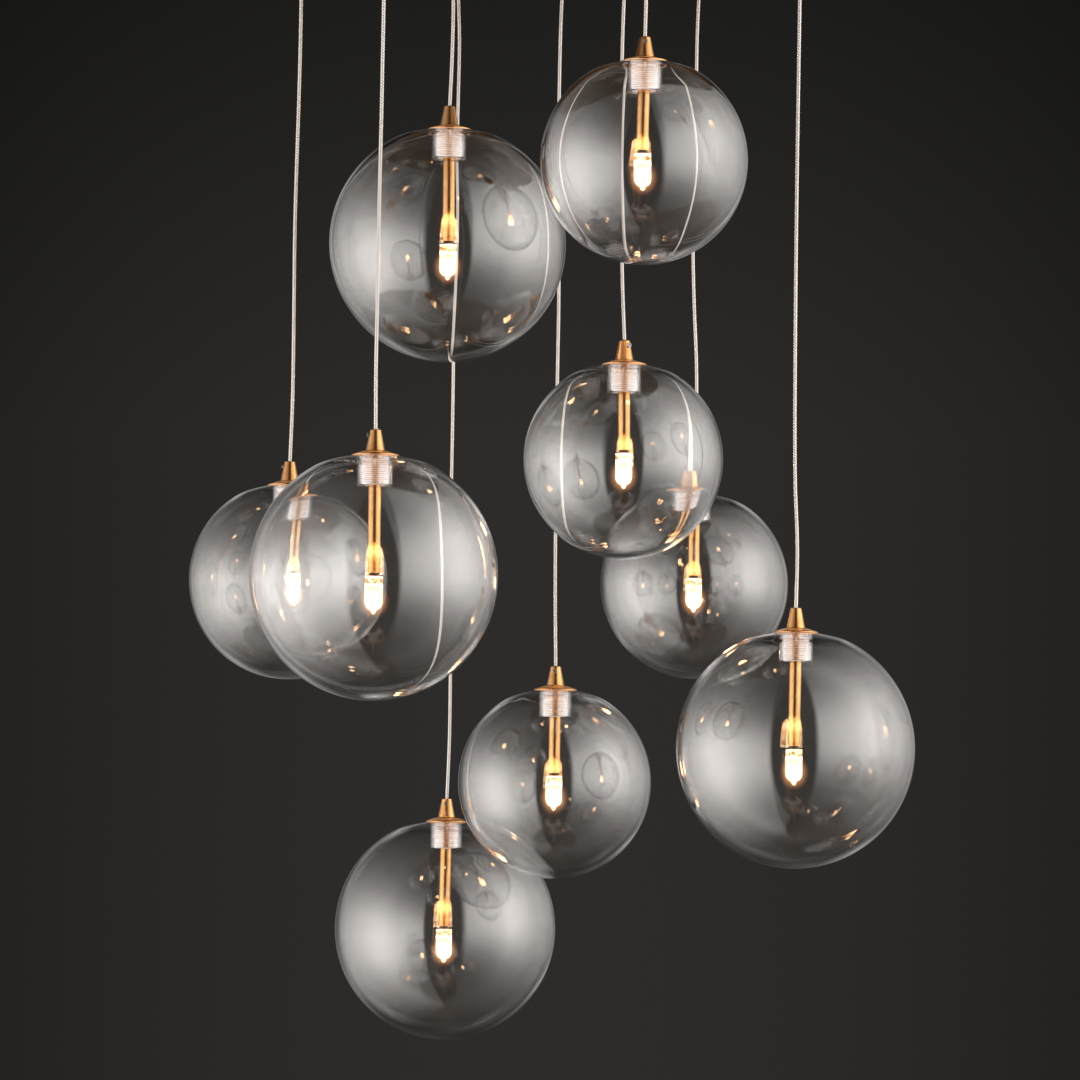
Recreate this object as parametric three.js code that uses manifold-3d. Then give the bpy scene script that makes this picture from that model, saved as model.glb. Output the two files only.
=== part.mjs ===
// A cluster pendant light: nine clear glass globes, each with its own small capsule lamp,
// hang on thin cords at nine heights below one round brass canopy.
// Millimetres, +Z up. The origin is on the ceiling, at the centre of the canopy.

import * as THREE from 'three';
import { mergeVertices } from 'three/addons/utils/BufferGeometryUtils.js';
import Module from 'manifold-3d';

const wasm = await Module();
wasm.setup();

// Gaps between neighbours
const seatGap = 0.3;
const cutOverrun = 1;

// Canopy: a round pan, open at the ceiling
const canopyRadius = 220;
const canopyDepth = 36;
const canopyWall = 1.5;
const canopyCorner = 5;

// Cross bar that is screwed to the ceiling and carries the pan by two side screws
const barWidth = 40;
const barThickness = 2;
const earDrop = 24;
const ceilingHoleRadius = 2.5;
const ceilingHoleSpacing = 70;
const sideScrewRadius = 2;
const sideScrewLength = 9;
const sideScrewHeadRadius = 4;
const sideScrewHeadHeight = 2.5;
const sideScrewRimShare = 0.6;
const sideScrewDrop = 14;

// Low-voltage driver and its terminal block, under the cross bar
const driverLength = 160;
const driverWidth = 48;
const driverHeight = 26;
const driverCorner = 6;
const terminalLength = 46;
const terminalWidth = 20;
const terminalHeight = 15;
const terminalCorner = 2;
const terminalSpacing = 14;

// Cord grips in the floor of the pan, one for each cord
const gripFlangeRadius = 6.5;
const gripFlangeHeight = 3;
const gripNutHeight = 3;
const gripNippleRadius = 4.2;
const gripTipRadius = 2.9;
const gripNippleLength = 9;

// Cord: a fine wire in a clear jacket
const cordRadius = 1.1;
const cordBoreGap = 0.4;
const cordInset = 1.5;

// Brass cap: a cone that grips the cord, and a shallow saucer on the glass
const coneTopRadius = 3.4;
const coneBaseRadius = 5.8;
const coneHeight = 12.6;
const coneTopChamfer = 0.35;
const coneBoreDepth = 4;
const saucerRadius = 14.2;
const saucerEdge = 0.6;
const saucerRise = 3.1;
const grubRadius = 1.4;
const grubDrop = 3.4;
const grubStandOut = 1.2;

// Glass globes in two sizes. The crown is a little flatter than a sphere, to seat the saucer, and
// a neck tube reaches down inside.
const largeGlobeRadius = 75;
const smallGlobeRadius = 63.5;
const glassWall = 2;
const crownSink = 1.6;
const crownSinkStart = 36;
const crownSinkEnd = 15;
const neckRadius = 10.8;
const neckDepth = 19.2;

// Clear threaded plug in the neck, round the stem
const threadPitch = 3;
const threadDepth = 0.6;
const threadTurns = 4;
const plugRecess = 0.8;

// Brass stem, with the lamp's socket in its lower end
const stemRadius = 3.9;
const stemWall = 0.8;
const stemSpigot = 2;
const largeStemLength = 73.8;
const smallStemLength = 57.5;
const socketRadius = 3.3;
const socketStandOut = 2;
const socketDepth = 8;

// Capsule lamp: a flat pinch, a round body, and the pip of its lower end
const lampRadius = 5.3;
const lampLength = 22.6;
const pinchHeight = 6.4;
const pinchThickness = 3.8;
const pinchOverlap = 2;
const lampShoulder = 1.4;
const lampEndHeight = 5.2;
const pipRadius = 1.5;
const pipLength = 2.6;

// Where the nine pendants hang, the shortest drop first.
// placeShares are shares of the canopy's radius, to the right and to the back.
// dropShare is the globe's centre below the ceiling, as a share of the longest drop.
// screwTurn is the way that the grub screw faces, in degrees from the right.
// sway is the cord's own wave, to the right and to the back, at even steps down the cord.
const longestDrop = 697;
const pendants = [
  {
    large: false, placeShares: [0.275, -0.618], dropShare: 0.3144, screwTurn: -90,
    sway: [[0, 0], [0.3, 0.4], [0.5, 0.6], [0.4, 0.3], [0, 0]],
  },
  {
    large: true, placeShares: [-0.276, -0.177], dropShare: 0.3706, screwTurn: 75,
    sway: [[0, 0], [0.9, -0.3], [1.5, -0.5], [1.1, -0.3], [0, 0]],
  },
  {
    large: false, placeShares: [0.238, -0.091], dropShare: 0.5633, screwTurn: -52,
    sway: [
      [0, 0], [-2.3, 0.5], [-3.4, 1], [-3.6, 1.2],
      [-3.3, 0.9], [-2.8, 0.5], [-1.8, 0.2], [0, 0],
    ],
  },
  {
    large: false, placeShares: [0.475, 0.673], dropShare: 0.6636, screwTurn: 120,
    sway: [
      [0, 0], [-1.4, 0.4], [-1.7, 0.9], [-2.1, 1.3], [-2.6, 1.4],
      [-2.8, 1.1], [-1.6, 0.6], [0.2, 0.2], [0.6, 0], [0, 0],
    ],
  },
  {
    large: false, placeShares: [-0.733, 0.027], dropShare: 0.675, screwTurn: 180,
    sway: [
      [0, 0], [2.3, -0.4], [2.4, -0.7], [2, -0.9], [1.3, -0.8],
      [0.8, -0.5], [0.9, -0.2], [1.1, 0.1], [1, 0.2], [0, 0],
    ],
  },
  {
    large: true, placeShares: [-0.453, -0.727], dropShare: 0.6832, screwTurn: 186,
    sway: [
      [0, 0], [0.8, 0.5], [1, 1], [0.8, 1.2], [0.6, 1],
      [0.2, 0.7], [-0.1, 0.4], [-0.2, 0.2], [-0.4, 0.1], [0, 0],
    ],
  },
  {
    large: true, placeShares: [0.733, -0.218], dropShare: 0.825, screwTurn: 62,
    sway: [
      [0, 0], [-0.6, 0.5], [-0.9, 0.9], [-1.2, 1.2], [-1.5, 1.3], [-1.7, 1.2],
      [-1.8, 1], [-1.8, 0.7], [-1.7, 0.4], [-1.2, 0.1], [0.5, 0], [0, 0],
    ],
  },
  {
    large: false, placeShares: [0.052, 0.382], dropShare: 0.857, screwTurn: -96,
    sway: [
      [0, 0], [-1.6, 0.3], [-2.2, 0.6], [-2.3, 0.9], [-1.8, 1.1], [-1.2, 1], [-0.9, 0.8],
      [-1.2, 0.5], [-1.3, 0.2], [-1.3, -0.1], [-1.2, -0.3], [-0.8, -0.2], [0, 0],
    ],
  },
  {
    large: true, placeShares: [-0.279, 0.818], dropShare: 1, screwTurn: -92,
    sway: [
      [0, 0], [1.6, -0.4], [1.3, -0.8], [0.9, -1.1], [0.6, -1.3], [0.4, -1.3], [0.4, -1.1],
      [0.5, -0.8], [0.4, -0.5], [0.1, -0.3], [0.4, -0.1], [0.9, 0.1], [1.3, 0.2],
      [1.2, 0.1], [0, 0],
    ],
  },
];

// Sides and steps of the round forms
const canopySides = 40;
const cornerSteps = 3;
const gripSides = 8;
const cordSides = 8;
const globeSides = 16;
const upperSteps = 4;
const crownSteps = 3;
const lowerSteps = 5;
const innerSteps = 4;
const innerUpperSteps = 3;
const capSides = 12;
const saucerSteps = 2;
const plugSides = 10;
const stemSides = 10;
const lampSides = 10;
const lampEndSteps = 2;
const screwSides = 10;
const grubSides = 6;

// Finishes
const brass = new THREE.MeshStandardMaterial({ color: 0xc9974f, metalness: 1, roughness: 0.32 });
const zincSteel = new THREE.MeshStandardMaterial({ color: 0xb4b6b8, metalness: 1, roughness: 0.4 });
const whitePlastic = new THREE.MeshStandardMaterial({ color: 0xe9e7e1, roughness: 0.5 });
const creamPlastic = new THREE.MeshStandardMaterial({ color: 0xd8d2c0, roughness: 0.55 });
const clearGlass = new THREE.MeshStandardMaterial({
  color: 0xeef3f4, roughness: 0.04, transparent: true, opacity: 0.25,
});
const clearPlastic = new THREE.MeshStandardMaterial({
  color: 0xf2f3f1, roughness: 0.15, transparent: true, opacity: 0.55,
});
const cordJacket = new THREE.MeshStandardMaterial({ color: 0xd9cfc4, metalness: 0.2, roughness: 0.4 });
const litGlass = new THREE.MeshStandardMaterial({
  color: 0xfff0d8, emissive: 0xffc27a, emissiveIntensity: 2, roughness: 0.2,
});

// A turned piece from its outline, given as [radius, height] pairs. The outline runs up the
// outside, and starts and ends on the axis or closes on itself.
function turned(outline, sides) {
  const points = outline.map(([radius, height]) => new THREE.Vector2(radius, height));
  return new THREE.LatheGeometry(points, sides).rotateX(Math.PI / 2);
}

// A turned piece whose outline doesn't touch the axis: its last point is its first.
function turnedRing(outline, sides) {
  return turned([...outline, outline[0]], sides);
}

// A three.js geometry as a manifold solid, for joins and cuts.
function toSolid(geometry) {
  const bare = geometry.clone();
  bare.deleteAttribute('normal');
  bare.deleteAttribute('uv');
  const merged = mergeVertices(bare);
  return new wasm.Manifold(new wasm.Mesh({
    numProp: 3,
    vertProperties: merged.attributes.position.array,
    triVerts: new Uint32Array(merged.index.array),
  }));
}

// A manifold solid as a three.js geometry.
function toGeometry(solid) {
  const mesh = solid.getMesh();
  const geometry = new THREE.BufferGeometry();
  geometry.setAttribute('position', new THREE.BufferAttribute(mesh.vertProperties, 3));
  geometry.setIndex(new THREE.BufferAttribute(mesh.triVerts, 1));
  geometry.computeVertexNormals();
  return geometry;
}

// A solid rod of a round section along Z, between two heights.
function rod(radius, low, high, sides) {
  const outline = [[0, low], [radius, low], [radius, high], [0, high]];
  return turned(outline, sides);
}

// Points of an arc in the radius and height plane, from one angle to another, both included.
function arc(centreRadius, centreHeight, radius, from, to, steps) {
  return Array.from({ length: steps + 1 }, (_, i) => {
    const angle = from + (to - from) * i / steps;
    return [
      centreRadius + radius * Math.cos(angle),
      centreHeight + radius * Math.sin(angle),
    ];
  });
}

// A box with rounded upright corners, its middle at x and its top face at the given height.
function roundedBlock(length, width, height, corner, x, top) {
  const shape = new THREE.Shape();
  const right = length / 2;
  const back = width / 2;
  shape.moveTo(-right + corner, -back);
  shape.lineTo(right - corner, -back);
  shape.absarc(right - corner, -back + corner, corner, -Math.PI / 2, 0);
  shape.lineTo(right, back - corner);
  shape.absarc(right - corner, back - corner, corner, 0, Math.PI / 2);
  shape.lineTo(-right + corner, back);
  shape.absarc(-right + corner, back - corner, corner, Math.PI / 2, Math.PI);
  shape.lineTo(-right, -back + corner);
  shape.absarc(-right + corner, -back + corner, corner, Math.PI, Math.PI * 1.5);
  const settings = { depth: height, bevelEnabled: false, curveSegments: cornerSteps };
  return new THREE.ExtrudeGeometry(shape, settings).translate(x, 0, top - height);
}

function named(name, geometry, material) {
  const mesh = new THREE.Mesh(geometry, material);
  mesh.name = name;
  return mesh;
}

// Places and heights that several pieces share
const panFloor = -canopyDepth;
const gripFlangeBottom = panFloor - gripFlangeHeight;
const gripTip = gripFlangeBottom - gripNippleLength;
const cordBoreRadius = cordRadius + cordBoreGap;
const neckBoreRadius = neckRadius - glassWall;
const stemHoleRadius = stemRadius + seatGap;
const halfBar = barWidth / 2;
const panFlats = (canopyRadius - canopyWall) * Math.cos(Math.PI / canopySides);
const earReach = Math.sqrt((panFlats - seatGap) ** 2 - halfBar ** 2);

// Height of a sphere's surface above its centre, at a given distance from the axis.
const sphereHeight = (radius, distance) => Math.sqrt(radius ** 2 - distance ** 2);

const placeOf = ({ placeShares }) => placeShares.map((share) => share * canopyRadius);

// Canopy

// A grip has a nut inside the pan, a flange under it and a tapered nipple for the cord.
function cordGrip() {
  const nutTop = panFloor + canopyWall + gripNutHeight;
  return turned([
    [0, gripTip],
    [gripTipRadius, gripTip],
    [gripNippleRadius, gripFlangeBottom],
    [gripFlangeRadius, gripFlangeBottom],
    [gripFlangeRadius, nutTop],
    [0, nutTop],
  ], gripSides);
}

function canopyPan() {
  const inner = canopyRadius - canopyWall;
  const innerCorner = canopyCorner - canopyWall;
  const cornerHeight = panFloor + canopyCorner;
  return turned([
    [0, panFloor],
    ...arc(canopyRadius - canopyCorner, cornerHeight, canopyCorner, -Math.PI / 2, 0, cornerSteps),
    [canopyRadius, 0],
    [inner, 0],
    ...arc(canopyRadius - canopyCorner, cornerHeight, innerCorner, 0, -Math.PI / 2, cornerSteps),
    [0, panFloor + canopyWall],
  ], canopySides);
}

// The pan with its nine grips, the cords' bores and the holes of the two side screws.
function canopyCover() {
  let pan = toSolid(canopyPan());
  const boreTop = panFloor + canopyWall + gripNutHeight + cutOverrun;
  for (const [x, y] of pendants.map(placeOf)) {
    const bore = rod(cordBoreRadius, gripTip - cutOverrun, boreTop, gripSides);
    pan = pan.add(toSolid(cordGrip().translate(x, y, 0)));
    pan = pan.subtract(toSolid(bore.translate(x, y, 0)));
  }
  const reach = canopyRadius + cutOverrun;
  const hole = rod(sideScrewRadius + seatGap, -reach, reach, screwSides);
  pan = pan.subtract(toSolid(hole.rotateY(Math.PI / 2).translate(0, 0, -sideScrewDrop)));
  return named('canopy_cover', toGeometry(pan), brass);
}

// A flat bar against the ceiling, with an ear turned down at each end and two ceiling holes.
function ceilingBracket() {
  const strip = new THREE.BoxGeometry(2 * earReach, barWidth, barThickness);
  let bar = toSolid(strip.translate(0, 0, -barThickness / 2));
  for (const side of [-1, 1]) {
    const ear = new THREE.BoxGeometry(barThickness, barWidth, earDrop);
    const hole = rod(ceilingHoleRadius, -barThickness - cutOverrun, cutOverrun, screwSides);
    ear.translate(side * (earReach - barThickness / 2), 0, -earDrop / 2);
    bar = bar.add(toSolid(ear));
    bar = bar.subtract(toSolid(hole.translate(side * ceilingHoleSpacing, 0, 0)));
  }
  const reach = earReach + cutOverrun;
  const threads = rod(sideScrewRadius + seatGap, -reach, reach, screwSides);
  bar = bar.subtract(toSolid(threads.rotateY(Math.PI / 2).translate(0, 0, -sideScrewDrop)));
  return named('ceiling_bracket', toGeometry(bar), zincSteel);
}

// A pan-head screw that points inwards through the pan's side wall into the bar's ear.
function sideScrew(name, side) {
  const seat = canopyRadius + seatGap;
  const headRim = sideScrewHeadHeight * sideScrewRimShare;
  const screw = turned([
    [0, -sideScrewLength],
    [sideScrewRadius, -sideScrewLength],
    [sideScrewRadius, 0],
    [sideScrewHeadRadius, 0],
    [sideScrewHeadRadius, headRim],
    [sideScrewRadius, sideScrewHeadHeight],
    [0, sideScrewHeadHeight],
  ], screwSides);
  const mesh = named(name, screw, brass);
  mesh.position.set(side * seat, 0, -sideScrewDrop);
  mesh.rotation.y = side * Math.PI / 2;
  return mesh;
}

function driver() {
  const top = -barThickness - seatGap;
  const block = roundedBlock(driverLength, driverWidth, driverHeight, driverCorner, 0, top);
  return named('led_driver', block, whitePlastic);
}

function terminalBlock() {
  const top = -barThickness - seatGap;
  const x = (driverLength + terminalLength) / 2 + terminalSpacing;
  const block = roundedBlock(
    terminalLength, terminalWidth, terminalHeight, terminalCorner, x, top,
  );
  return named('terminal_block', block, creamPlastic);
}

// Pendants. Heights are above the globe's centre.

// The crown lies under the sphere by a smooth step of the distance from the axis.
function crownHeight(radius, distance) {
  const sink = crownSink * THREE.MathUtils.smoothstep(-distance, -crownSinkStart, -crownSinkEnd);
  return sphereHeight(radius, distance) - sink;
}

// Points of the crown, from its start in to where the saucer sits.
function crownPoints(radius) {
  return Array.from({ length: crownSteps + 1 }, (_, i) => {
    const distance = crownSinkStart + (crownSinkEnd - crownSinkStart) * i / crownSteps;
    return [distance, crownHeight(radius, distance)];
  });
}

const capUnderside = (globeRadius, distance) => crownHeight(globeRadius + seatGap, distance);
const coneBase = (globeRadius) => capUnderside(globeRadius, saucerRadius) + saucerRise;
const coneTop = (globeRadius) => coneBase(globeRadius) + coneHeight;

// Brass cap: below, a socket for the stem; above, a bore for the cord; a grub screw in its side.
function cap(globeRadius, screwTurn) {
  const base = coneBase(globeRadius);
  const top = coneTop(globeRadius);
  const edge = capUnderside(globeRadius, saucerRadius);
  const underside = Array.from({ length: saucerSteps + 1 }, (_, i) => {
    const distance = stemHoleRadius + (saucerRadius - stemHoleRadius) * i / saucerSteps;
    return [distance, capUnderside(globeRadius, distance)];
  });
  const body = turned([
    [0, base + stemSpigot],
    [stemHoleRadius, base + stemSpigot],
    ...underside,
    [saucerRadius, edge + saucerEdge],
    [coneBaseRadius, base],
    [coneTopRadius, top - coneTopChamfer],
    [coneTopRadius - coneTopChamfer, top],
    [cordBoreRadius, top],
    [cordBoreRadius, top - coneBoreDepth],
    [0, top - coneBoreDepth],
  ], capSides);
  const coneAtScrew = coneTopRadius + (coneBaseRadius - coneTopRadius) * grubDrop / coneHeight;
  const screw = rod(grubRadius, cordBoreRadius + cordBoreGap, coneAtScrew + grubStandOut, grubSides);
  screw.rotateY(Math.PI / 2).rotateZ(THREE.MathUtils.degToRad(screwTurn));
  screw.translate(0, 0, top - grubDrop);
  return toGeometry(toSolid(body).add(toSolid(screw)));
}

// Height of the neck tube's lower end.
const neckEnd = (globeRadius) => globeRadius - crownSink - neckDepth;

// Glass globe: a thin sphere whose mouth turns in as a neck tube. The outline runs from the
// lowest point up the outside, over the mouth, down the bore, and back inside.
function globe(radius) {
  const inner = radius - glassWall;
  const crown = Math.acos(crownSinkStart / radius);
  const innerCrown = Math.acos(crownSinkStart / inner);
  const end = neckEnd(radius);
  const lower = arc(0, 0, radius, -Math.PI / 2, 0, lowerSteps);
  const upper = arc(0, 0, radius, 0, crown, upperSteps).slice(1, -1);
  const inside = arc(0, 0, inner, innerCrown, 0, innerUpperSteps).slice(1);
  const insideLower = arc(0, 0, inner, 0, -Math.PI / 2, innerSteps).slice(1);
  const outline = [
    ...lower,
    ...upper,
    ...crownPoints(radius),
    [neckBoreRadius, crownHeight(radius, neckBoreRadius)],
    [neckBoreRadius, end],
    [neckRadius, end],
    [neckRadius, crownHeight(inner, neckRadius)],
    ...crownPoints(inner).reverse(),
    ...inside,
    ...insideLower,
  ];
  outline[0][0] = 0;
  outline[outline.length - 1][0] = 0;
  return turned(outline, globeSides);
}

// Clear plug in the neck: rounds of thread outside, a bore for the stem inside.
function threadPlug(globeRadius) {
  const crest = neckBoreRadius - seatGap;
  const root = crest - threadDepth;
  const top = capUnderside(globeRadius, crest) - seatGap;
  const bottom = neckEnd(globeRadius) + plugRecess;
  const threadStart = (top + bottom - threadTurns * threadPitch) / 2;
  const rounds = Array.from({ length: threadTurns }, (_, i) => [
    [root, threadStart + i * threadPitch],
    [crest, threadStart + i * threadPitch + threadPitch / 2],
  ]).flat();
  return turnedRing([
    [stemHoleRadius, bottom],
    [root, bottom],
    ...rounds,
    [root, threadStart + threadTurns * threadPitch],
    [root, top],
    [stemHoleRadius, top],
  ], plugSides);
}

// Brass stem: a tube from the cap's socket down to the lamp, closed by the lamp's own socket.
function stem(globeRadius, length) {
  const top = coneBase(globeRadius) + stemSpigot - seatGap;
  const bottom = coneBase(globeRadius) - length;
  const socketBottom = bottom - socketStandOut;
  const bore = stemRadius - stemWall;
  return turned([
    [0, socketBottom],
    [socketRadius, socketBottom],
    [socketRadius, bottom],
    [stemRadius, bottom],
    [stemRadius, top],
    [bore, top],
    [bore, bottom + socketDepth],
    [0, bottom + socketDepth],
  ], stemSides);
}

// Capsule lamp under the socket.
function lamp(globeRadius, stemLength) {
  const top = coneBase(globeRadius) - stemLength - socketStandOut - seatGap;
  const pipEnd = top - lampLength;
  const endLow = pipEnd + pipLength;
  const endHigh = endLow + lampEndHeight;
  const shoulder = top - pinchHeight + pinchOverlap;
  const end = Array.from({ length: lampEndSteps }, (_, i) => {
    const angle = Math.PI / 2 * (i + 1) / lampEndSteps;
    return [
      pipRadius + (lampRadius - pipRadius) * Math.sin(angle),
      endHigh - lampEndHeight * Math.cos(angle),
    ];
  });
  const body = turned([
    [0, pipEnd],
    [pipRadius, endLow],
    ...end,
    [lampRadius, shoulder - lampShoulder],
    [pinchThickness / 2, shoulder],
    [0, shoulder],
  ], lampSides);
  const pinch = new THREE.BoxGeometry(2 * lampRadius, pinchThickness, pinchHeight);
  pinch.translate(0, 0, top - pinchHeight / 2);
  return toGeometry(toSolid(body).add(toSolid(pinch)));
}

// Route of a cord, from inside its grip to inside its cap, with the cord's own wave.
function cordRoute({ sway }, [x, y], capTop) {
  const high = gripTip + cordInset;
  const low = capTop - cordInset;
  return sway.map(([right, back], i) => new THREE.Vector3(
    x + right,
    y + back,
    high + (low - high) * i / (sway.length - 1),
  ));
}

function cord(spec, place, capTop) {
  const round = Array.from({ length: cordSides }, (_, i) => {
    const angle = 2 * Math.PI * i / cordSides;
    return new THREE.Vector2(cordRadius * Math.cos(angle), cordRadius * Math.sin(angle));
  });
  return new THREE.ExtrudeGeometry(new THREE.Shape(round), {
    steps: spec.sway.length - 1,
    bevelEnabled: false,
    extrudePath: new THREE.CatmullRomCurve3(cordRoute(spec, place, capTop)),
  });
}

function pendant(spec, number) {
  const globeRadius = spec.large ? largeGlobeRadius : smallGlobeRadius;
  const stemLength = spec.large ? largeStemLength : smallStemLength;
  const [x, y] = placeOf(spec);
  const centre = -longestDrop * spec.dropShare;
  const hanging = new THREE.Group();
  hanging.position.set(x, y, centre);
  hanging.add(
    named(`cap_${number}`, cap(globeRadius, spec.screwTurn), brass),
    named(`thread_plug_${number}`, threadPlug(globeRadius), clearPlastic),
    named(`globe_${number}`, globe(globeRadius), clearGlass),
    named(`stem_${number}`, stem(globeRadius, stemLength), brass),
    named(`lamp_${number}`, lamp(globeRadius, stemLength), litGlass),
  );
  const line = named(
    `cord_${number}`,
    cord(spec, [x, y], centre + coneTop(globeRadius)),
    cordJacket,
  );
  const whole = new THREE.Group();
  whole.add(line, hanging);
  return whole;
}

const clusterPendant = new THREE.Group();
clusterPendant.add(
  canopyCover(),
  ceilingBracket(),
  driver(),
  terminalBlock(),
  sideScrew('side_screw_left', -1),
  sideScrew('side_screw_right', 1),
  ...pendants.map((spec, i) => pendant(spec, i + 1)),
);

export default clusterPendant;
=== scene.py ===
import math

import bpy
import numpy as np
from mathutils import Matrix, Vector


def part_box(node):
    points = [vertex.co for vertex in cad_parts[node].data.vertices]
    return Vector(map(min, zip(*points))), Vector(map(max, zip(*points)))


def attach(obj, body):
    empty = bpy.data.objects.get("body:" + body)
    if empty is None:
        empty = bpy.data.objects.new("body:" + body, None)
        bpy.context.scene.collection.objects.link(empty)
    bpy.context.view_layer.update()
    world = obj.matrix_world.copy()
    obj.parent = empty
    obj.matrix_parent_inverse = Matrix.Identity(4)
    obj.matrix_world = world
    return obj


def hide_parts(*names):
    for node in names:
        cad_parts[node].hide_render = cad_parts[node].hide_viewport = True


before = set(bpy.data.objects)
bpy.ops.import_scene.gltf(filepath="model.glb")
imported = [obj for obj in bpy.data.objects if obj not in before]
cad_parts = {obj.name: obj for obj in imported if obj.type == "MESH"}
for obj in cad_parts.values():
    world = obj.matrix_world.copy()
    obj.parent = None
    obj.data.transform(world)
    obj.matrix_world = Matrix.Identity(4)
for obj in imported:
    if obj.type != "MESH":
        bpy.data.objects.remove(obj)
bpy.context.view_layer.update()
print("frame loaded")

# Cluster pendant light: nine clear glass globes with lit capsule lamps hang on thin cords below a
# round brass canopy. Metres, +Z up, the ceiling at height 0.

# View, as in the photograph: a long lens from in front, turned up a little and rolled a little
view = {"place": (0, -2.596, -0.611), "lens": 135.43, "pitch": 3.7, "roll": 0.7}


def aimCamera():
    data = bpy.data.cameras.new("camera")
    data.lens = view["lens"]
    camera = bpy.data.objects.new("camera", data)
    bpy.context.scene.collection.objects.link(camera)
    upright = Matrix.Rotation(math.radians(90 + view["pitch"]), 4, "X")
    rolled = Matrix.Rotation(math.radians(view["roll"]), 4, "Z")
    camera.matrix_world = Matrix.Translation(view["place"]) @ upright @ rolled
    bpy.context.scene.camera = camera


aimCamera()
print("camera set")

# Places, read off the CAD nodes
seatGap = 0.0003
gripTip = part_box("canopy_cover")[0].z


# A pendant's globe centre and radius, and the height of its cap's top above that centre
def pendantFacts(number):
    low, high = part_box(f"globe_{number}")
    radius = (high.x - low.x) / 2
    centre = np.array([(low.x + high.x) / 2, (low.y + high.y) / 2, low.z + radius])
    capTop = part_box(f"cap_{number}")[1].z - centre[2]
    return {"number": number, "radius": radius, "centre": centre, "capTop": capTop}


pendants = [pendantFacts(number) for number in range(1, 10)]


# A mesh from a grid of points, rows by columns, whose last column joins its first. `reach` is
# each row's length along the outline. A pole closes the first or last row; a ring joins the last
# row to the first. UV: the share of the way round, and the length along the outline in metres.
def gridPiece(name, grid, reach, poles=(None, None), ring=False, sharp=35):
    rows, columns = grid.shape[:2]
    ids = np.arange(rows * columns).reshape(rows, columns)
    upper = np.roll(ids, -1, axis=0) if ring else ids[1:]
    lower = ids if ring else ids[:-1]
    quads = np.stack(
        [lower, np.roll(lower, -1, axis=1), np.roll(upper, -1, axis=1), upper], axis=-1
    ).reshape(-1, 4)
    share = np.arange(columns) / columns
    step = 1 / columns
    reach = np.asarray(reach, float)
    high = np.append(reach[1:], 2 * reach[-1] - reach[-2]) if ring else reach[1:]
    low = reach if ring else reach[:-1]
    u = np.broadcast_to(share, lower.shape)
    lowV = np.broadcast_to(low[:, None], lower.shape)
    highV = np.broadcast_to(high[:, None], lower.shape)
    uv = np.stack([u, lowV, u + step, lowV, u + step, highV, u, highV], axis=-1).reshape(-1, 2)
    points = grid.reshape(-1, 3)
    corners, starts, total = [quads.ravel()], [np.arange(len(quads)) * 4], quads.size
    for pole, row, along in ((poles[0], ids[0][::-1], reach[0]), (poles[1], ids[-1], reach[-1])):
        if pole is None:
            continue
        tip = len(points)
        points = np.vstack([points, pole])
        fan = np.stack([row, np.roll(row, -1), np.full(columns, tip)], axis=-1)
        corners.append(fan.ravel())
        starts.append(total + np.arange(columns) * 3)
        total += fan.size
        flat = np.full(columns, along)
        fanUv = np.stack([share, flat, share + step, flat, share + step / 2, flat], axis=-1)
        uv = np.vstack([uv, fanUv.reshape(-1, 2)])
    mesh = bpy.data.meshes.new(name)
    mesh.vertices.add(len(points))
    mesh.vertices.foreach_set("co", points.astype(np.float32).ravel())
    mesh.loops.add(total)
    mesh.loops.foreach_set("vertex_index", np.concatenate(corners).astype(np.int32))
    starts = np.concatenate(starts).astype(np.int32)
    mesh.polygons.add(len(starts))
    mesh.polygons.foreach_set("loop_start", starts)
    mesh.update(calc_edges=True)
    mesh.polygons.foreach_set("use_smooth", np.ones(len(starts), bool))
    mesh.uv_layers.new(name="turning").data.foreach_set("uv", uv.astype(np.float32).ravel())
    mesh.set_sharp_from_angle(angle=math.radians(sharp))
    piece = bpy.data.objects.new(name, mesh)
    bpy.context.scene.collection.objects.link(piece)
    return piece


# An outline with its corners rounded: each corner gives way to a quadratic curve that leaves the
# line `rounding` before it and joins the next line as far after it.
def softCorners(outline, rounding, steps=3, ring=False):
    outline = np.asarray(outline, float)
    if ring:
        outline = np.vstack([outline[-1], outline, outline[0]])
    corner = outline[1:-1]
    back, ahead = outline[:-2] - corner, outline[2:] - corner
    backLength = np.linalg.norm(back, axis=1)
    aheadLength = np.linalg.norm(ahead, axis=1)
    cut = np.minimum(rounding, 0.45 * np.minimum(backLength, aheadLength))
    start = (corner + back * (cut / backLength)[:, None])[:, None]
    end = (corner + ahead * (cut / aheadLength)[:, None])[:, None]
    t = np.linspace(0, 1, steps + 1)[None, :, None]
    curves = (1 - t) ** 2 * start + 2 * t * (1 - t) * corner[:, None] + t**2 * end
    curves = curves.reshape(-1, 2)
    points = curves if ring else np.vstack([outline[:1], curves, outline[-1:]])
    apart = np.linalg.norm(np.diff(points, axis=0), axis=1) > 1e-7
    return points[np.append(True, apart)]


# Length along an outline of (distance, height) rows, from its first point.
def outlineLength(outline):
    return np.append(0, np.cumsum(np.linalg.norm(np.diff(outline, axis=0), axis=1)))


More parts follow.
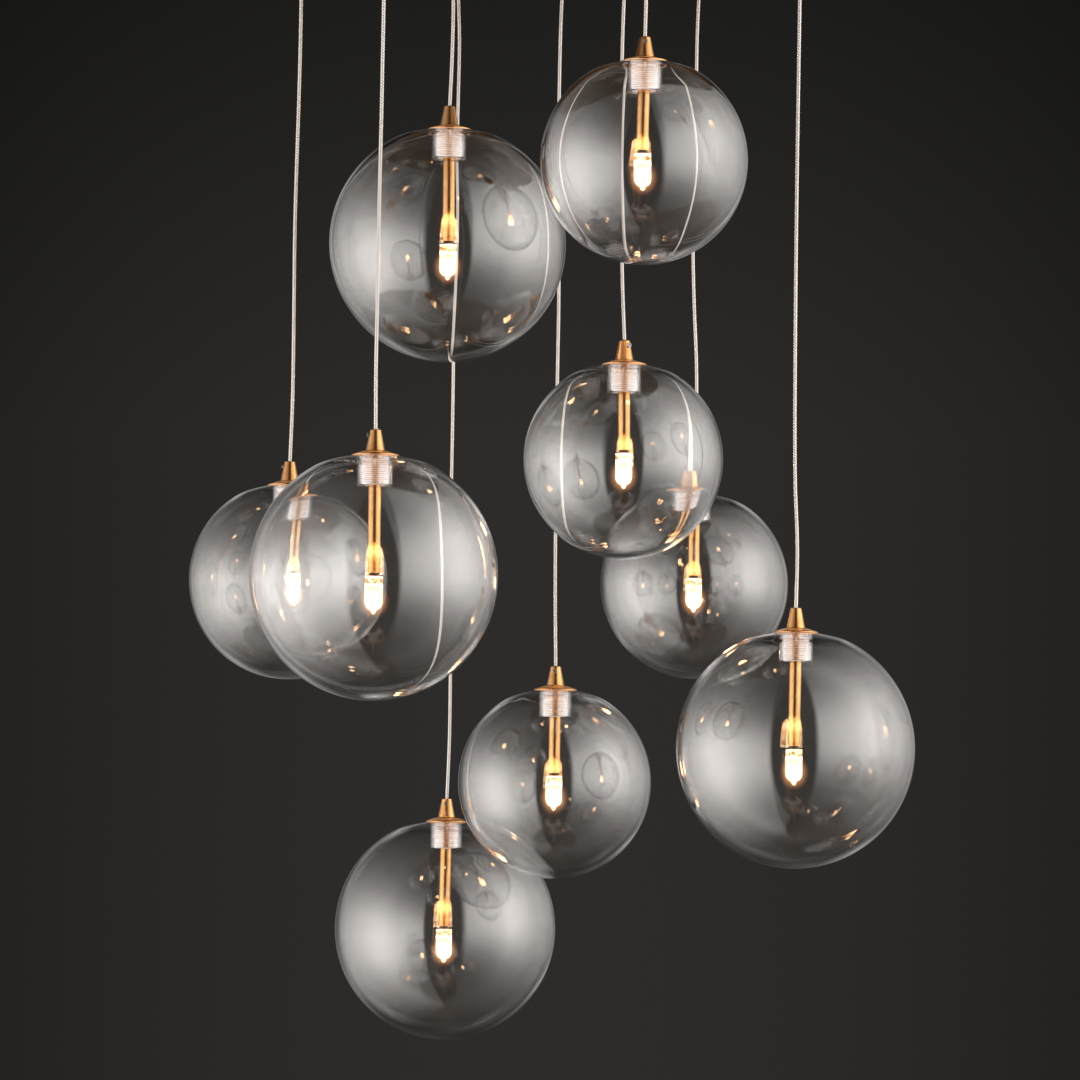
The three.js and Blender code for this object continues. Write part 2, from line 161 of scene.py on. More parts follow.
# A turned piece: each (distance, height) of the outline goes round the axis. `reshape` may alter
# the distances, given the outline's rows and the angles. `turn` lays the axis another way.
def turnedPiece(name, outline, centre, columns=48, ring=False, reshape=None, turn=None, sharp=35):
    outline = np.asarray(outline, float)
    reach = outlineLength(outline)
    onAxis = [not ring and outline[end, 0] < 1e-9 for end in (0, -1)]
    inner = slice(1 if onAxis[0] else 0, len(outline) - (1 if onAxis[1] else 0))
    angles = 2 * math.pi * np.arange(columns) / columns
    distance = np.repeat(outline[inner, :1], columns, axis=1)
    if reshape:
        distance = reshape(distance, outline[inner, 1:], angles[None])
    height = np.broadcast_to(outline[inner, 1:], distance.shape)
    grid = np.stack([distance * np.cos(angles), distance * np.sin(angles), height], axis=-1)
    ends = [np.array([0, 0, outline[end, 1]]) for end in (0, -1)]
    if turn is not None:
        grid = grid @ np.asarray(turn).T
        ends = [end @ np.asarray(turn).T for end in ends]
    poles = [end + centre if there else None for end, there in zip(ends, onAxis)]
    return gridPiece(name, grid + centre, reach[inner], poles, ring, sharp)


# A round tube along a path: at each point a circle stands square to the path.
def tubePiece(name, path, radius, sides=12):
    path = np.asarray(path, float)
    along = np.gradient(path, axis=0)
    along /= np.linalg.norm(along, axis=1)[:, None]
    side = np.cross([0, 1, 0], along)
    side /= np.linalg.norm(side, axis=1)[:, None]
    across = np.cross(along, side)
    angles = 2 * math.pi * np.arange(sides) / sides
    radius = np.broadcast_to(np.reshape(radius, (-1, 1, 1)), (len(path), 1, 1))
    circle = np.cos(angles)[None, :, None] * side[:, None]
    circle = circle + np.sin(angles)[None, :, None] * across[:, None]
    grid = path[:, None] + radius * circle
    return gridPiece(name, grid, outlineLength(path), (path[0], path[-1]))


# Points of an arc about the axis's zero point, as (distance, height) rows.
def arcPoints(radius, start, end, steps):
    angle = np.linspace(start, end, steps + 1)
    return np.stack([radius * np.cos(angle), radius * np.sin(angle)], axis=-1)


# Gives a finished piece its finish, its body, its material slot and the CAD nodes it stands for.
def settle(piece, body, material, nodes=()):
    piece.data.materials.append(material)
    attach(piece, body)
    if nodes:
        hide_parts(*nodes)
    return piece


# Adds a node, with its own settings and a value or a link for each named input.
def addNode(owner, kind, inputs=None, **settings):
    tree = owner.node_tree
    node = tree.nodes.new(kind)
    for key, value in settings.items():
        setattr(node, key, value)
    for key, value in (inputs or {}).items():
        if isinstance(value, bpy.types.NodeSocket):
            tree.links.new(value, node.inputs[key])
        else:
            node.inputs[key].default_value = value
    return node


# One sum of up to three values, by the operation's name.
def calculate(owner, operation, first, second=0.0, third=0.0):
    inputs = {0: first, 1: second, 2: third}
    return addNode(owner, "ShaderNodeMath", inputs, operation=operation).outputs[0]


# first x other x other ...
def product(owner, first, *others):
    for other in others:
        first = calculate(owner, "MULTIPLY", first, other)
    return first


# A colour between two, by a factor from 0 to 1. Each is a plain colour or another node's output.
def blendColours(owner, factor, first, second):
    first, second = (
        end if isinstance(end, bpy.types.NodeSocket) else (*end, 1) for end in (first, second)
    )
    inputs = {"Factor": factor, "A": first, "B": second}
    return addNode(owner, "ShaderNodeMix", inputs, data_type="RGBA").outputs["Result"]


# A colour times a share, from 0 to 1.
def shadeColour(owner, colour, share):
    grey = addNode(owner, "ShaderNodeCombineXYZ", {0: share, 1: share, 2: share}).outputs[0]
    inputs = {0: colour, 1: grey}
    return addNode(owner, "ShaderNodeVectorMath", inputs, operation="MULTIPLY").outputs[0]


# newLow + (newHigh - newLow) x (value - low) / (high - low), kept between the new ends.
def spread(owner, value, low, high, newLow, newHigh):
    inputs = {
        "Value": value, "From Min": low, "From Max": high, "To Min": newLow, "To Max": newHigh,
    }
    return addNode(owner, "ShaderNodeMapRange", inputs).outputs["Result"]


# A material, its shader with plain values on its own sockets, and the coordinates it reads.
def newMaterial(name, values):
    material = bpy.data.materials.new(name)
    material.use_nodes = True
    shader = material.node_tree.nodes["Principled BSDF"]
    for key, value in values.items():
        shader.inputs[key].default_value = value
    return material, shader, addNode(material, "ShaderNodeTexCoord").outputs


def grainNoise(material, vector, scale, detail=2.0):
    inputs = {"Vector": vector, "Scale": scale, "Detail": detail}
    return addNode(material, "ShaderNodeTexNoise", inputs).outputs["Fac"]


# The length along a piece's outline, which its UV map holds in metres.
def lengthAlong(material, where):
    return addNode(material, "ShaderNodeSeparateXYZ", {0: where["UV"]}).outputs["Y"]


# Noise of a length alone: it lies in rings round a turned piece.
def ringNoise(material, along, scale, detail):
    inputs = {"W": product(material, along, scale), "Scale": 1.0, "Detail": detail}
    return addNode(material, "ShaderNodeTexNoise", inputs, noise_dimensions="1D").outputs["Fac"]


# 1 where a mirrored ray looks, 0 where the eye looks straight.
def seenMirrored(owner):
    path = addNode(owner, "ShaderNodeLightPath").outputs
    return calculate(owner, "GREATER_THAN", path["Glossy Depth"], 0.5)


# A see-through surface that only adds light of a colour, at a level.
def shineThrough(material, shader, colour, level):
    tree = material.node_tree
    tree.nodes.remove(shader)
    glow = addNode(material, "ShaderNodeEmission", {"Color": (*colour, 1), "Strength": level})
    clear = addNode(material, "ShaderNodeBsdfTransparent")
    both = addNode(material, "ShaderNodeAddShader", {0: glow.outputs[0], 1: clear.outputs[0]})
    tree.links.new(both.outputs[0], tree.nodes["Material Output"].inputs["Surface"])
    material.cycles.emission_sampling = "NONE"
    return material


def addBump(material, shader, height, strength, distance):
    inputs = {"Height": height, "Strength": strength, "Distance": distance}
    bump = addNode(material, "ShaderNodeBump", inputs)
    material.node_tree.links.new(bump.outputs["Normal"], shader.inputs["Normal"])


# Satin metal off a lathe. Fine rings go round the piece: a noise of the length along the outline
# alone. Larger, faint clouds of colour come from a noise in space. A piece with a mirroredShare
# keeps only that share of its colour where it is seen in a mirror: painted shade, as if it hung in
# the dark.
def turnedMetal(name, look):
    material, shader, where = newMaterial(name, {
        "Metallic": look.get("metal", 1.0), "Specular IOR Level": look.get("specular", 0.5),
        "Specular Tint": (*look.get("edge", (1.0, 1.0, 1.0)), 1),
    })
    link = material.node_tree.links.new
    rings = ringNoise(material, lengthAlong(material, where), look["rings"], 3.0)
    clouds = grainNoise(material, where["Object"], look["clouds"], 3.0)
    cloudShare = spread(material, clouds, 0.35, 0.65, 0.0, 1.0)
    colour = blendColours(material, cloudShare, look["light"], look["deep"])
    # Painted shade: the colour darkens where the piece is seen in a mirror.
    if "mirroredShare" in look:
        path = addNode(material, "ShaderNodeLightPath").outputs
        dim = spread(material, path["Glossy Depth"], 0.0, 1.0, 0.0, 1 - look["mirroredShare"])
        colour = blendColours(material, dim, colour, (0.0, 0.0, 0.0))
    link(colour, shader.inputs["Base Color"])
    link(spread(material, rings, 0.25, 0.75, *look["roughness"]), shader.inputs["Roughness"])
    addBump(material, shader, rings, look["bump"], 0.00004)
    return material


# Clear glass or acrylic: faint ripples and a breath of handling marks. Shadow rays pass, so the
# lamp inside lights what is outside.
def clearMaterial(name, look):
    values = {
        "Base Color": (*look["tint"], 1), "Transmission Weight": 1.0, "IOR": look["ior"],
    }
    material, shader, where = newMaterial(name, values)
    tree = material.node_tree
    ripple = grainNoise(material, where["Object"], look["ripple"], 1.0)
    addBump(material, shader, ripple, look["rippleStrength"], 0.0005)
    marks = grainNoise(material, where["Object"], look["marks"], 4.0)
    rough = spread(material, marks, 0.55, 0.8, *look["roughness"])
    tree.links.new(rough, shader.inputs["Roughness"])
    clear = addNode(material, "ShaderNodeBsdfTransparent")
    path = addNode(material, "ShaderNodeLightPath").outputs
    inputs = {0: path["Is Shadow Ray"], 1: shader.outputs[0], 2: clear.outputs[0]}
    mixed = addNode(material, "ShaderNodeMixShader", inputs)
    tree.links.new(mixed.outputs[0], tree.nodes["Material Output"].inputs["Surface"])
    return material


# Moulded plastic or glazed ceramic: a fine grain in the surface and slightly uneven colour.
def mouldedMaterial(name, look):
    material, shader, where = newMaterial(name, {"Specular IOR Level": look["specular"]})
    link = material.node_tree.links.new
    patches = grainNoise(material, where["Object"], look["patches"], 3.0)
    shade = spread(material, patches, 0.3, 0.7, 0.0, 1.0)
    link(blendColours(material, shade, look["light"], look["deep"]), shader.inputs["Base Color"])
    grain = grainNoise(material, where["Object"], look["grain"], 2.0)
    link(spread(material, grain, 0.3, 0.7, *look["roughness"]), shader.inputs["Roughness"])
    addBump(material, shader, grain, look["bump"], 0.0001)
    return material


# Cords: fine silvery wires twisted together in a clear jacket.
# `sway` is each cord's own wave, to the right and to the back, at even steps down the cord.
cord = {
    "radius": 0.0011,
    "inset": 0.0015,
    "strands": 3,
    "lay": 0.0052,
    "wire": (0.86, 0.80, 0.73),
    # Painted shade between the strands.
    "paintedGapShade": (0.30, 0.25, 0.21),
    "grain": 900.0,
    "roughness": (0.28, 0.5),
    "sway": {
        1: [(0, 0), (0.0003, 0.0004), (0.0005, 0.0006), (0.0004, 0.0003), (0, 0)],
        2: [(0, 0), (0.0009, -0.0003), (0.0015, -0.0005), (0.0011, -0.0003), (0, 0)],
        3: [
            (0, 0), (-0.0023, 0.0005), (-0.0034, 0.001), (-0.0036, 0.0012), (-0.0033, 0.0009),
            (-0.0028, 0.0005), (-0.0018, 0.0002), (0, 0),
        ],
        4: [
            (0, 0), (-0.0014, 0.0004), (-0.0017, 0.0009), (-0.0021, 0.0013), (-0.0026, 0.0014),
            (-0.0028, 0.0011), (-0.0016, 0.0006), (0.0002, 0.0002), (0.0006, 0), (0, 0),
        ],
        5: [
            (0, 0), (0.0023, -0.0004), (0.0024, -0.0007), (0.002, -0.0009), (0.0013, -0.0008),
            (0.0008, -0.0005), (0.0009, -0.0002), (0.0011, 0.0001), (0.001, 0.0002), (0, 0),
        ],
        6: [
            (0, 0), (0.0008, 0.0005), (0.001, 0.001), (0.0008, 0.0012), (0.0006, 0.001),
            (0.0002, 0.0007), (-0.0001, 0.0004), (-0.0002, 0.0002), (-0.0004, 0.0001), (0, 0),
        ],
        7: [
            (0, 0), (-0.0006, 0.0005), (-0.0009, 0.0009), (-0.0012, 0.0012), (-0.0015, 0.0013),
            (-0.0017, 0.0012), (-0.0018, 0.001), (-0.0018, 0.0007), (-0.0017, 0.0004),
            (-0.0012, 0.0001), (0.0005, 0), (0, 0),
        ],
        8: [
            (0, 0), (-0.0016, 0.0003), (-0.0022, 0.0006), (-0.0023, 0.0009), (-0.0018, 0.0011),
            (-0.0012, 0.001), (-0.0009, 0.0008), (-0.0012, 0.0005), (-0.0013, 0.0002),
            (-0.0013, -0.0001), (-0.0012, -0.0003), (-0.0008, -0.0002), (0, 0),
        ],
        9: [
            (0, 0), (0.0016, -0.0004), (0.0013, -0.0008), (0.0009, -0.0011), (0.0006, -0.0013),
            (0.0004, -0.0013), (0.0004, -0.0011), (0.0005, -0.0008), (0.0004, -0.0005),
            (0.0001, -0.0003), (0.0004, -0.0001), (0.0009, 0.0001), (0.0013, 0.0002),
            (0.0012, 0.0001), (0, 0),
        ],
    },
}


# A smooth curve through knots: on each span, cubic weights of the four knots round it.
def smoothRoute(knots, count):
    knots = np.asarray(knots, float)
    padded = np.vstack([2 * knots[0] - knots[1], knots, 2 * knots[-1] - knots[-2]])
    place = np.linspace(0, len(knots) - 1, count)
    span = np.minimum(place.astype(int), len(knots) - 2)
    t = (place - span)[:, None]
    a, b, c, d = (padded[span + k] for k in range(4))
    linear, square, cube = c - a, 2 * a - 5 * b + 4 * c - d, 3 * b - a - 3 * c + d
    return 0.5 * (2 * b + linear * t + square * t**2 + cube * t**3)


# Each cord's knots stand at even steps down from inside its grip to inside its cap.
def cordRoute(pendant):
    sway = np.array(cord["sway"][pendant["number"]], float)
    centre = pendant["centre"]
    low = centre[2] + pendant["capTop"] - cord["inset"]
    height = np.linspace(gripTip + cord["inset"], low, len(sway))
    knots = np.column_stack([centre[0] + sway[:, 0], centre[1] + sway[:, 1], height])
    return smoothRoute(knots, min(40, max(15, 3 * len(sway))))


# Twisted wires show as slanting strands: a wave of the share round the cord plus the share of a
# turn along it. Painted shade darkens the gaps between the strands.
def cordMaterial():
    values = {"Metallic": 0.35, "Coat Weight": 0.8, "Coat Roughness": 0.12, "Coat IOR": 1.5}
    material, shader, where = newMaterial("twistedWireCord", values)
    link = material.node_tree.links.new
    parts = addNode(material, "ShaderNodeSeparateXYZ", {0: where["UV"]}).outputs
    turns = calculate(material, "MULTIPLY_ADD", parts["Y"], 1 / cord["lay"], parts["X"])
    angle = product(material, turns, math.pi * cord["strands"])
    strand = calculate(material, "ABSOLUTE", calculate(material, "SINE", angle))
    # Painted shade: the gaps between strands are darker than their crowns.
    crown = spread(material, strand, 0.1, 0.6, 0.0, 1.0)
    link(blendColours(material, crown, cord["paintedGapShade"], cord["wire"]), shader.inputs["Base Color"])
    fine = grainNoise(material, where["Object"], cord["grain"], 2.0)
    link(spread(material, fine, 0.3, 0.7, *cord["roughness"]), shader.inputs["Roughness"])
    addBump(material, shader, strand, 0.5, 0.0003)
    return material


cordFinish = cordMaterial()
for pendant in pendants:
    number = pendant["number"]
    route = cordRoute(pendant)
    line = tubePiece(f"cord_wire_{number}", route, cord["radius"])
    settle(line, f"line_{number}", cordFinish, [f"cord_{number}"])
print("cords hung")

# Globes: blown glass. The crown is a little flatter than a sphere, to seat the cap, and the mouth
# turns in as a neck tube
globe = {
    "wall": 0.002,
    "crownSink": 0.0016,
    "crownSinkStart": 0.036,
    "crownSinkEnd": 0.015,
    "crownMargin": 0.003,
    "shoulderMargin": 0.0022,
    "crownWall": 0.0009,
    "neckRadius": 0.0108,
    "neckDepth": 0.0192,
    "mouthRounding": 0.0015,
    "neckEndRounding": 0.0009,
    "shoulderRounding": 0.0012,
    "thickerBottom": 0.0007,
    "outerWave": 0.00008,
    "innerWave": 0.00024,
    "waveFade": 0.02,
    "lobes": 7,
    "lean": (2.0, -0.6, -1.0, 0.8, 0.5, -0.3, 1.7, 1.0, 1.6),
    "rows": 66,
    "crownRows": 26,
    "columns": 112,
    "glass": {
        "tint": (0.992, 0.996, 0.994), "ior": 1.6, "ripple": 28.0, "rippleStrength": 0.02,
        "marks": 18.0, "roughness": (0.0, 0.02),
    },
}


# How far the crown lies under the sphere, at a distance from the axis: a smooth step.
def crownSink(distance):
    start, end = globe["crownSinkStart"], globe["crownSinkEnd"]
    step = np.clip((start - distance) / (start - end), 0, 1)
    return globe["crownSink"] * step**2 * (3 - 2 * step)


# Height of the crown at a distance from the axis: the sphere's height less the sink.
def crownHeight(radius, distance):
    return np.sqrt(radius**2 - np.square(distance)) - crownSink(distance)


# The crown's inside: the glass thins towards the mouth, by the same smooth step as the sink.
def crownInside(radius, distance):
    thinned = (globe["wall"] - globe["crownWall"]) * crownSink(distance) / globe["crownSink"]
    return crownHeight(radius - globe["wall"], distance) + thinned


# Height of the neck's lower end above the globe's centre.
def neckEnd(radius):
    return radius - globe["crownSink"] - globe["neckDepth"]


# The outline runs from the lowest point up the outside, over the mouth, down the bore, round the
# neck's end and back down inside.
def globeOutline(radius):
    wall, neck = globe["wall"], globe["neckRadius"]
    bore, inner, end = neck - wall, radius - wall, neckEnd(radius)
    edge = globe["crownSinkStart"] + globe["crownMargin"]
    crown = np.linspace(edge, neck + globe["shoulderMargin"], globe["crownRows"])
    outside = arcPoints(radius, -math.pi / 2, math.acos(edge / radius), globe["rows"])
    outside = np.vstack([outside[:-1], np.column_stack([crown, crownHeight(radius, crown)])])
    inside = arcPoints(inner, math.acos(edge / inner), -math.pi / 2, globe["rows"])
    drop = np.clip(-inside[:, 1:] / inner, 0, 1) ** 3
    inside *= 1 - globe["thickerBottom"] / inner * drop
    crown = crown[::-1]
    crown = np.column_stack([crown, crownInside(radius, crown)])
    inside = np.vstack([crown[1:], inside[1:]])
    corners = [
        (bore, crownHeight(radius, bore)), (bore, end), (neck, end),
        (neck, crownInside(radius, neck)),
    ]
    outline = np.vstack([outside, corners, inside])
    rounding = np.zeros(len(outline) - 2)
    first = len(outside) - 1
    rounding[first:first + 4] = [
        globe["mouthRounding"], globe["neckEndRounding"], globe["neckEndRounding"],
        globe["shoulderRounding"],
    ]
    outline[[0, -1], 0] = 0
    return softCorners(outline, rounding, 5)


# Slow waves over a sphere: sines of the angle round and the height angle, each with its own seed.
# The last is the strongest, and its slope at the back is what sets a lamp's image aside.
def slowWaves(seed, around, height, lean):
    chance = np.random.default_rng(seed)
    total = lean * np.sin(globe["lobes"] * (around - math.pi / 2)) * np.cos(height) ** 2
    for lobes in (2, 3, 4):
        start = chance.uniform(0, 6.28)
        tilt = chance.uniform(-4, 4)
        size = chance.uniform(0.1, 0.3)
        total = total + size * np.sin(lobes * around + tilt * height + start)
    return total / 1.5


# Blown glass isn't even: the outside dips in by up to outerWave, and the inside waves both ways
# by innerWave. Both die away at the poles and leave the crown and the neck alone.
def makeGlobe(pendant, finish):
    radius, seed = pendant["radius"], pendant["number"]
    lean = globe["lean"][seed - 1]
    limit = radius - globe["wall"] / 2

    def blow(distance, height, around):
        reach = np.hypot(distance, height + np.where(height > 0, crownSink(distance), 0))
        angle = np.arctan2(height, distance)
        offCrown = np.clip((distance - globe["crownSinkEnd"]) / globe["waveFade"], 0, 1)
        fade = np.where(height > 0, offCrown, 1) * np.cos(angle) ** 2
        outer = globe["outerWave"] * (slowWaves(seed, around, angle, lean) - 1)
        inner = globe["innerWave"] * slowWaves(seed + 20, around, angle, lean)
        return distance * (1 + fade * np.where(reach > limit, outer, inner) / radius)

    piece = turnedPiece(
        f"globe_glass_{seed}", globeOutline(radius), pendant["centre"], globe["columns"],
        reshape=blow,
    )
    settle(piece, f"pendant_{seed}", finish, [f"globe_{seed}"])


globeFinish = clearMaterial("blownGlass", globe["glass"])
for pendant in pendants:
    makeGlobe(pendant, globeFinish)
print("globes blown")

# Plugs: clear acrylic, with a fine screw thread in the globe's neck
plug = {
    "root": 0.0079,
    "crest": 0.0085,
    "bore": 0.0042,
    "pitch": 0.00115,
    "stepsPerTurn": 8,
    "chamfer": 0.0004,
    "recess": 0.0008,
    # Painted colours by facing: the stem seen through, the lit flanks.
    "paintedCrossColours": (
        (0.0, (0.22, 0.10, 0.04)), (0.008, (0.32, 0.16, 0.07)), (0.022, (0.80, 0.54, 0.38)),
        (0.06, (0.95, 0.90, 0.86)), (0.5, (0.90, 0.90, 0.92)), (1.0, (0.60, 0.60, 0.62)),
    ),
    # Painted shade in the grooves.
    "paintedGrooveShade": 0.42,
    # Painted reflection of the saucer, as warm bands near the top.
    "paintedSaucerTint": (0.86, 0.42, 0.18),
    "warmFrom": 0.0135,
    "warmTo": 0.0205,
    "warmShares": (0.35, 1.0),
    "bandsPerTurn": 0.8,
    "clearness": 0.3,
    # Painted light: the plug's glow.
    "paintedGatheredLight": 0.62,
    "marks": 700.0,
    "roughness": (0.08, 0.3),
}


# Outside, the distance is the root plus a rounded ridge that climbs one pitch in each turn and
# dies out at both ends.
def makePlug(pendant, finish):
    radius = pendant["radius"]
    bottom = neckEnd(radius) + plug["recess"]
    top = crownHeight(radius + seatGap, plug["crest"]) - seatGap
    low, high = bottom + plug["chamfer"], top - plug["chamfer"]
    steps = int((high - low) / plug["pitch"] * plug["stepsPerTurn"])
    rounds = np.column_stack([np.full(steps + 1, plug["root"]), np.linspace(low, high, steps + 1)])
    outline = np.vstack([
        [(plug["bore"], bottom), (plug["root"] - plug["chamfer"], bottom)], rounds,
        [(plug["root"] - plug["chamfer"], top), (plug["bore"], top)],
    ])

    def cutThread(distance, height, around):
        outside = distance > plug["root"] - 1e-6
        ridge = 0.5 + 0.5 * np.cos(2 * math.pi * height / plug["pitch"] - around)
        fade = np.clip(np.minimum(height - low, high - height) / plug["pitch"], 0, 1)
        return distance + outside * fade * ridge * (plug["crest"] - plug["root"])

    piece = turnedPiece(
        f"neck_plug_{pendant['number']}", outline, pendant["centre"], 56, True, cutThread,
        sharp=60,
    )
    body = f"pendant_{pendant['number']}"
    settle(piece, body, finish, [f"thread_plug_{pendant['number']}"])


# A ramp of plain values or colours at given places.
def valueRamp(owner, value, stops):
    node = addNode(owner, "ShaderNodeValToRGB", {"Fac": value})
    ramp = node.color_ramp
    while len(ramp.elements) < len(stops):
        ramp.elements.new(0.5)
    for element, (place, level) in zip(ramp.elements, stops):
        element.position = place
        element.color = (*np.broadcast_to(level, 3), 1)
    return node.outputs["Color"]


# Threaded acrylic with painted light: an emission stands in for the lamp's light that it gathers,
# white at its flanks. Where its round side faces the eye, a painted brown shows the brass stem
# through it, and a painted reflection of the saucer lies on it as warm bands that grow towards the
# top. The thread's wave is a whole turn for each pitch up the plug, less the share of the way
# round; painted shade makes the grooves darker than the crests.
def threadMaterial():
    values = {
        "Transmission Weight": plug["clearness"], "IOR": 1.49,
        "Emission Strength": plug["paintedGatheredLight"],
    }
    material, shader, where = newMaterial("threadedAcrylic", values)
    link = material.node_tree.links.new
    lap, along = addNode(material, "ShaderNodeSeparateXYZ", {0: where["UV"]}).outputs[:2]
    turns = product(material, along, 1 / plug["pitch"])
    angle = product(material, calculate(material, "SUBTRACT", turns, lap), 2 * math.pi)
    wave = calculate(material, "COSINE", angle)
    # Painted shade: the thread's grooves are darker than its crests.
    crest = spread(material, wave, -0.7, 0.5, plug["paintedGrooveShade"], 1.0)
    around = product(material, lap, 2 * math.pi)
    outward = addNode(material, "ShaderNodeCombineXYZ", {
        0: calculate(material, "COSINE", around), 1: calculate(material, "SINE", around),
    }).outputs[0]
    facing = addNode(material, "ShaderNodeLayerWeight", {"Blend": 0.5, "Normal": outward})
    # Painted reflection and light: by facing, dark brown for the stem seen through, white for the
    # lit flanks.
    across = valueRamp(material, facing.outputs["Facing"], plug["paintedCrossColours"])
    # Painted reflection of the saucer: warm bands on the plug that grow towards the top.
    bands = ringNoise(material, turns, plug["bandsPerTurn"], 2.0)
    bands = spread(material, bands, 0.42, 0.58, 0.0, 1.0)
    nearTop = spread(material, along, plug["warmFrom"], plug["warmTo"], *plug["warmShares"])
    tinted = blendColours(material, product(material, bands, nearTop), across, plug["paintedSaucerTint"])
    colour = shadeColour(material, tinted, crest)
    link(colour, shader.inputs["Base Color"])
    # Painted light: the painted colour also glows, as if the acrylic gathered the lamp's light.
    link(colour, shader.inputs["Emission Color"])
    marks = grainNoise(material, where["Object"], plug["marks"], 3.0)
    link(spread(material, marks, 0.35, 0.7, *plug["roughness"]), shader.inputs["Roughness"])
    addBump(material, shader, marks, 0.2, 0.0002)
    return material


plugFinish = threadMaterial()
for pendant in pendants:
    makePlug(pendant, plugFinish)
print("plugs screwed in")

# Caps: a brass cone that grips the cord, on a shallow saucer, with a steel grub screw
cap = {
    "saucerRadius": 0.0142,
    "saucerEdge": 0.0006,
    "saucerRise": 0.0031,
    "coneBase": 0.0058,
    "coneTop": 0.0034,
    "coneHeight": 0.0126,
    "topChamfer": 0.00035,
    "cordBore": 0.0015,
    "boreDepth": 0.004,
    "stemHole": 0.0042,
    "spigot": 0.002,
    "softness": 0.00014,
    # Painted light on the saucer: emission under it, in rings, and on its top.
    "underside": (0.0078, 0.0180),
    "underGlow": (1.0, 0.58, 0.34),
    "underGlowStrength": 0.5,
    "underRings": 700.0,
    "topside": (0.0190, 0.0268),
    "topGlow": (0.80, 0.36, 0.11),
    "topGlowStrength": 0.34,
    "screwRadius": 0.0014,
    "screwKey": 0.0008,
    "screwKeyDepth": 0.0007,
    "screwInset": 0.0004,
    "screwDrop": 0.0034,
    "screwStandOut": 0.0012,
    "screwTurns": (-90, 75, -52, 120, 180, 186, 62, -96, -92),
    "brass": {
        "light": (0.63, 0.335, 0.135), "deep": (0.54, 0.27, 0.10), "rings": 9000.0,
        "clouds": 120.0, "roughness": (0.15, 0.27), "bump": 0.10,
    },
    "steel": {
        "light": (0.40, 0.39, 0.38), "deep": (0.22, 0.21, 0.21), "rings": 8000.0,
        "clouds": 300.0, "roughness": (0.3, 0.5), "bump": 0.08,
    },
}


# The underside follows the glass a seat's gap above it. The saucer's top climbs evenly from its
# thin edge to the cone.
def capOutline(radius):
    edge = crownHeight(radius + seatGap, cap["saucerRadius"])
    base = edge + cap["saucerRise"]
    top = base + cap["coneHeight"]
    under = np.linspace(cap["stemHole"], cap["saucerRadius"], 9)
    share = np.linspace(0, 1, 8)
    edgeTop = edge + cap["saucerEdge"]
    dish = np.column_stack([
        cap["saucerRadius"] + (cap["coneBase"] - cap["saucerRadius"]) * share,
        edgeTop + (base - edgeTop) * share,
    ])
    outline = np.vstack([
        [(0, base + cap["spigot"]), (cap["stemHole"], base + cap["spigot"])],
        np.column_stack([under, crownHeight(radius + seatGap, under)]),
        dish,
        [
            (cap["coneTop"], top - cap["topChamfer"]), (cap["coneTop"] - cap["topChamfer"], top),
            (cap["cordBore"], top), (cap["cordBore"], top - cap["boreDepth"]),
            (0, top - cap["boreDepth"]),
        ],
    ])
    return softCorners(outline, cap["softness"])


# Distance of a hexagon's side from its middle, at each angle.
def hexagon(size, around):
    return size / np.cos(np.mod(around, math.pi / 3) - math.pi / 6)


# A grub screw lies along +X, then turns about the upright axis. Its key hole is a hexagon.
def makeGrubScrew(pendant, finish):
    turn = math.radians(cap["screwTurns"][pendant["number"] - 1])
    slope = (cap["coneBase"] - cap["coneTop"]) / cap["coneHeight"]
    face = cap["coneTop"] + slope * cap["screwDrop"] + cap["screwStandOut"]
    radius, key = cap["screwRadius"], cap["screwKey"]
    inner, floor = cap["cordBore"] + cap["screwInset"], face - cap["screwKeyDepth"]
    outline = softCorners([
        (0, inner), (radius, inner), (radius, face), (key, face), (key, floor), (0, floor),
    ], 0.0001)
    keyRow = (outline[:, :1] < key * 1.01) & (outline[:, 1:] > face - 0.001)

    def cutKey(distance, height, around):
        return np.where(keyRow[1:-1], hexagon(distance * 0.87, around), distance)

    aside = np.array([
        [0, -math.sin(turn), math.cos(turn)], [0, math.cos(turn), math.sin(turn)], [-1, 0, 0],
    ])
    place = pendant["centre"] + [0, 0, pendant["capTop"] - cap["screwDrop"]]
    piece = turnedPiece(
        f"grub_screw_{pendant['number']}", outline, place, 30, reshape=cutKey, turn=aside,
    )
    settle(piece, f"pendant_{pendant['number']}", finish)


# Is a length along the outline between two others? The edges are soft.
def between(owner, along, ends, soft):
    rise = spread(owner, along, ends[0], ends[0] + soft, 0.0, 1.0)
    fall = spread(owner, along, ends[1] - soft, ends[1], 1.0, 0.0)
    return product(owner, rise, fall)


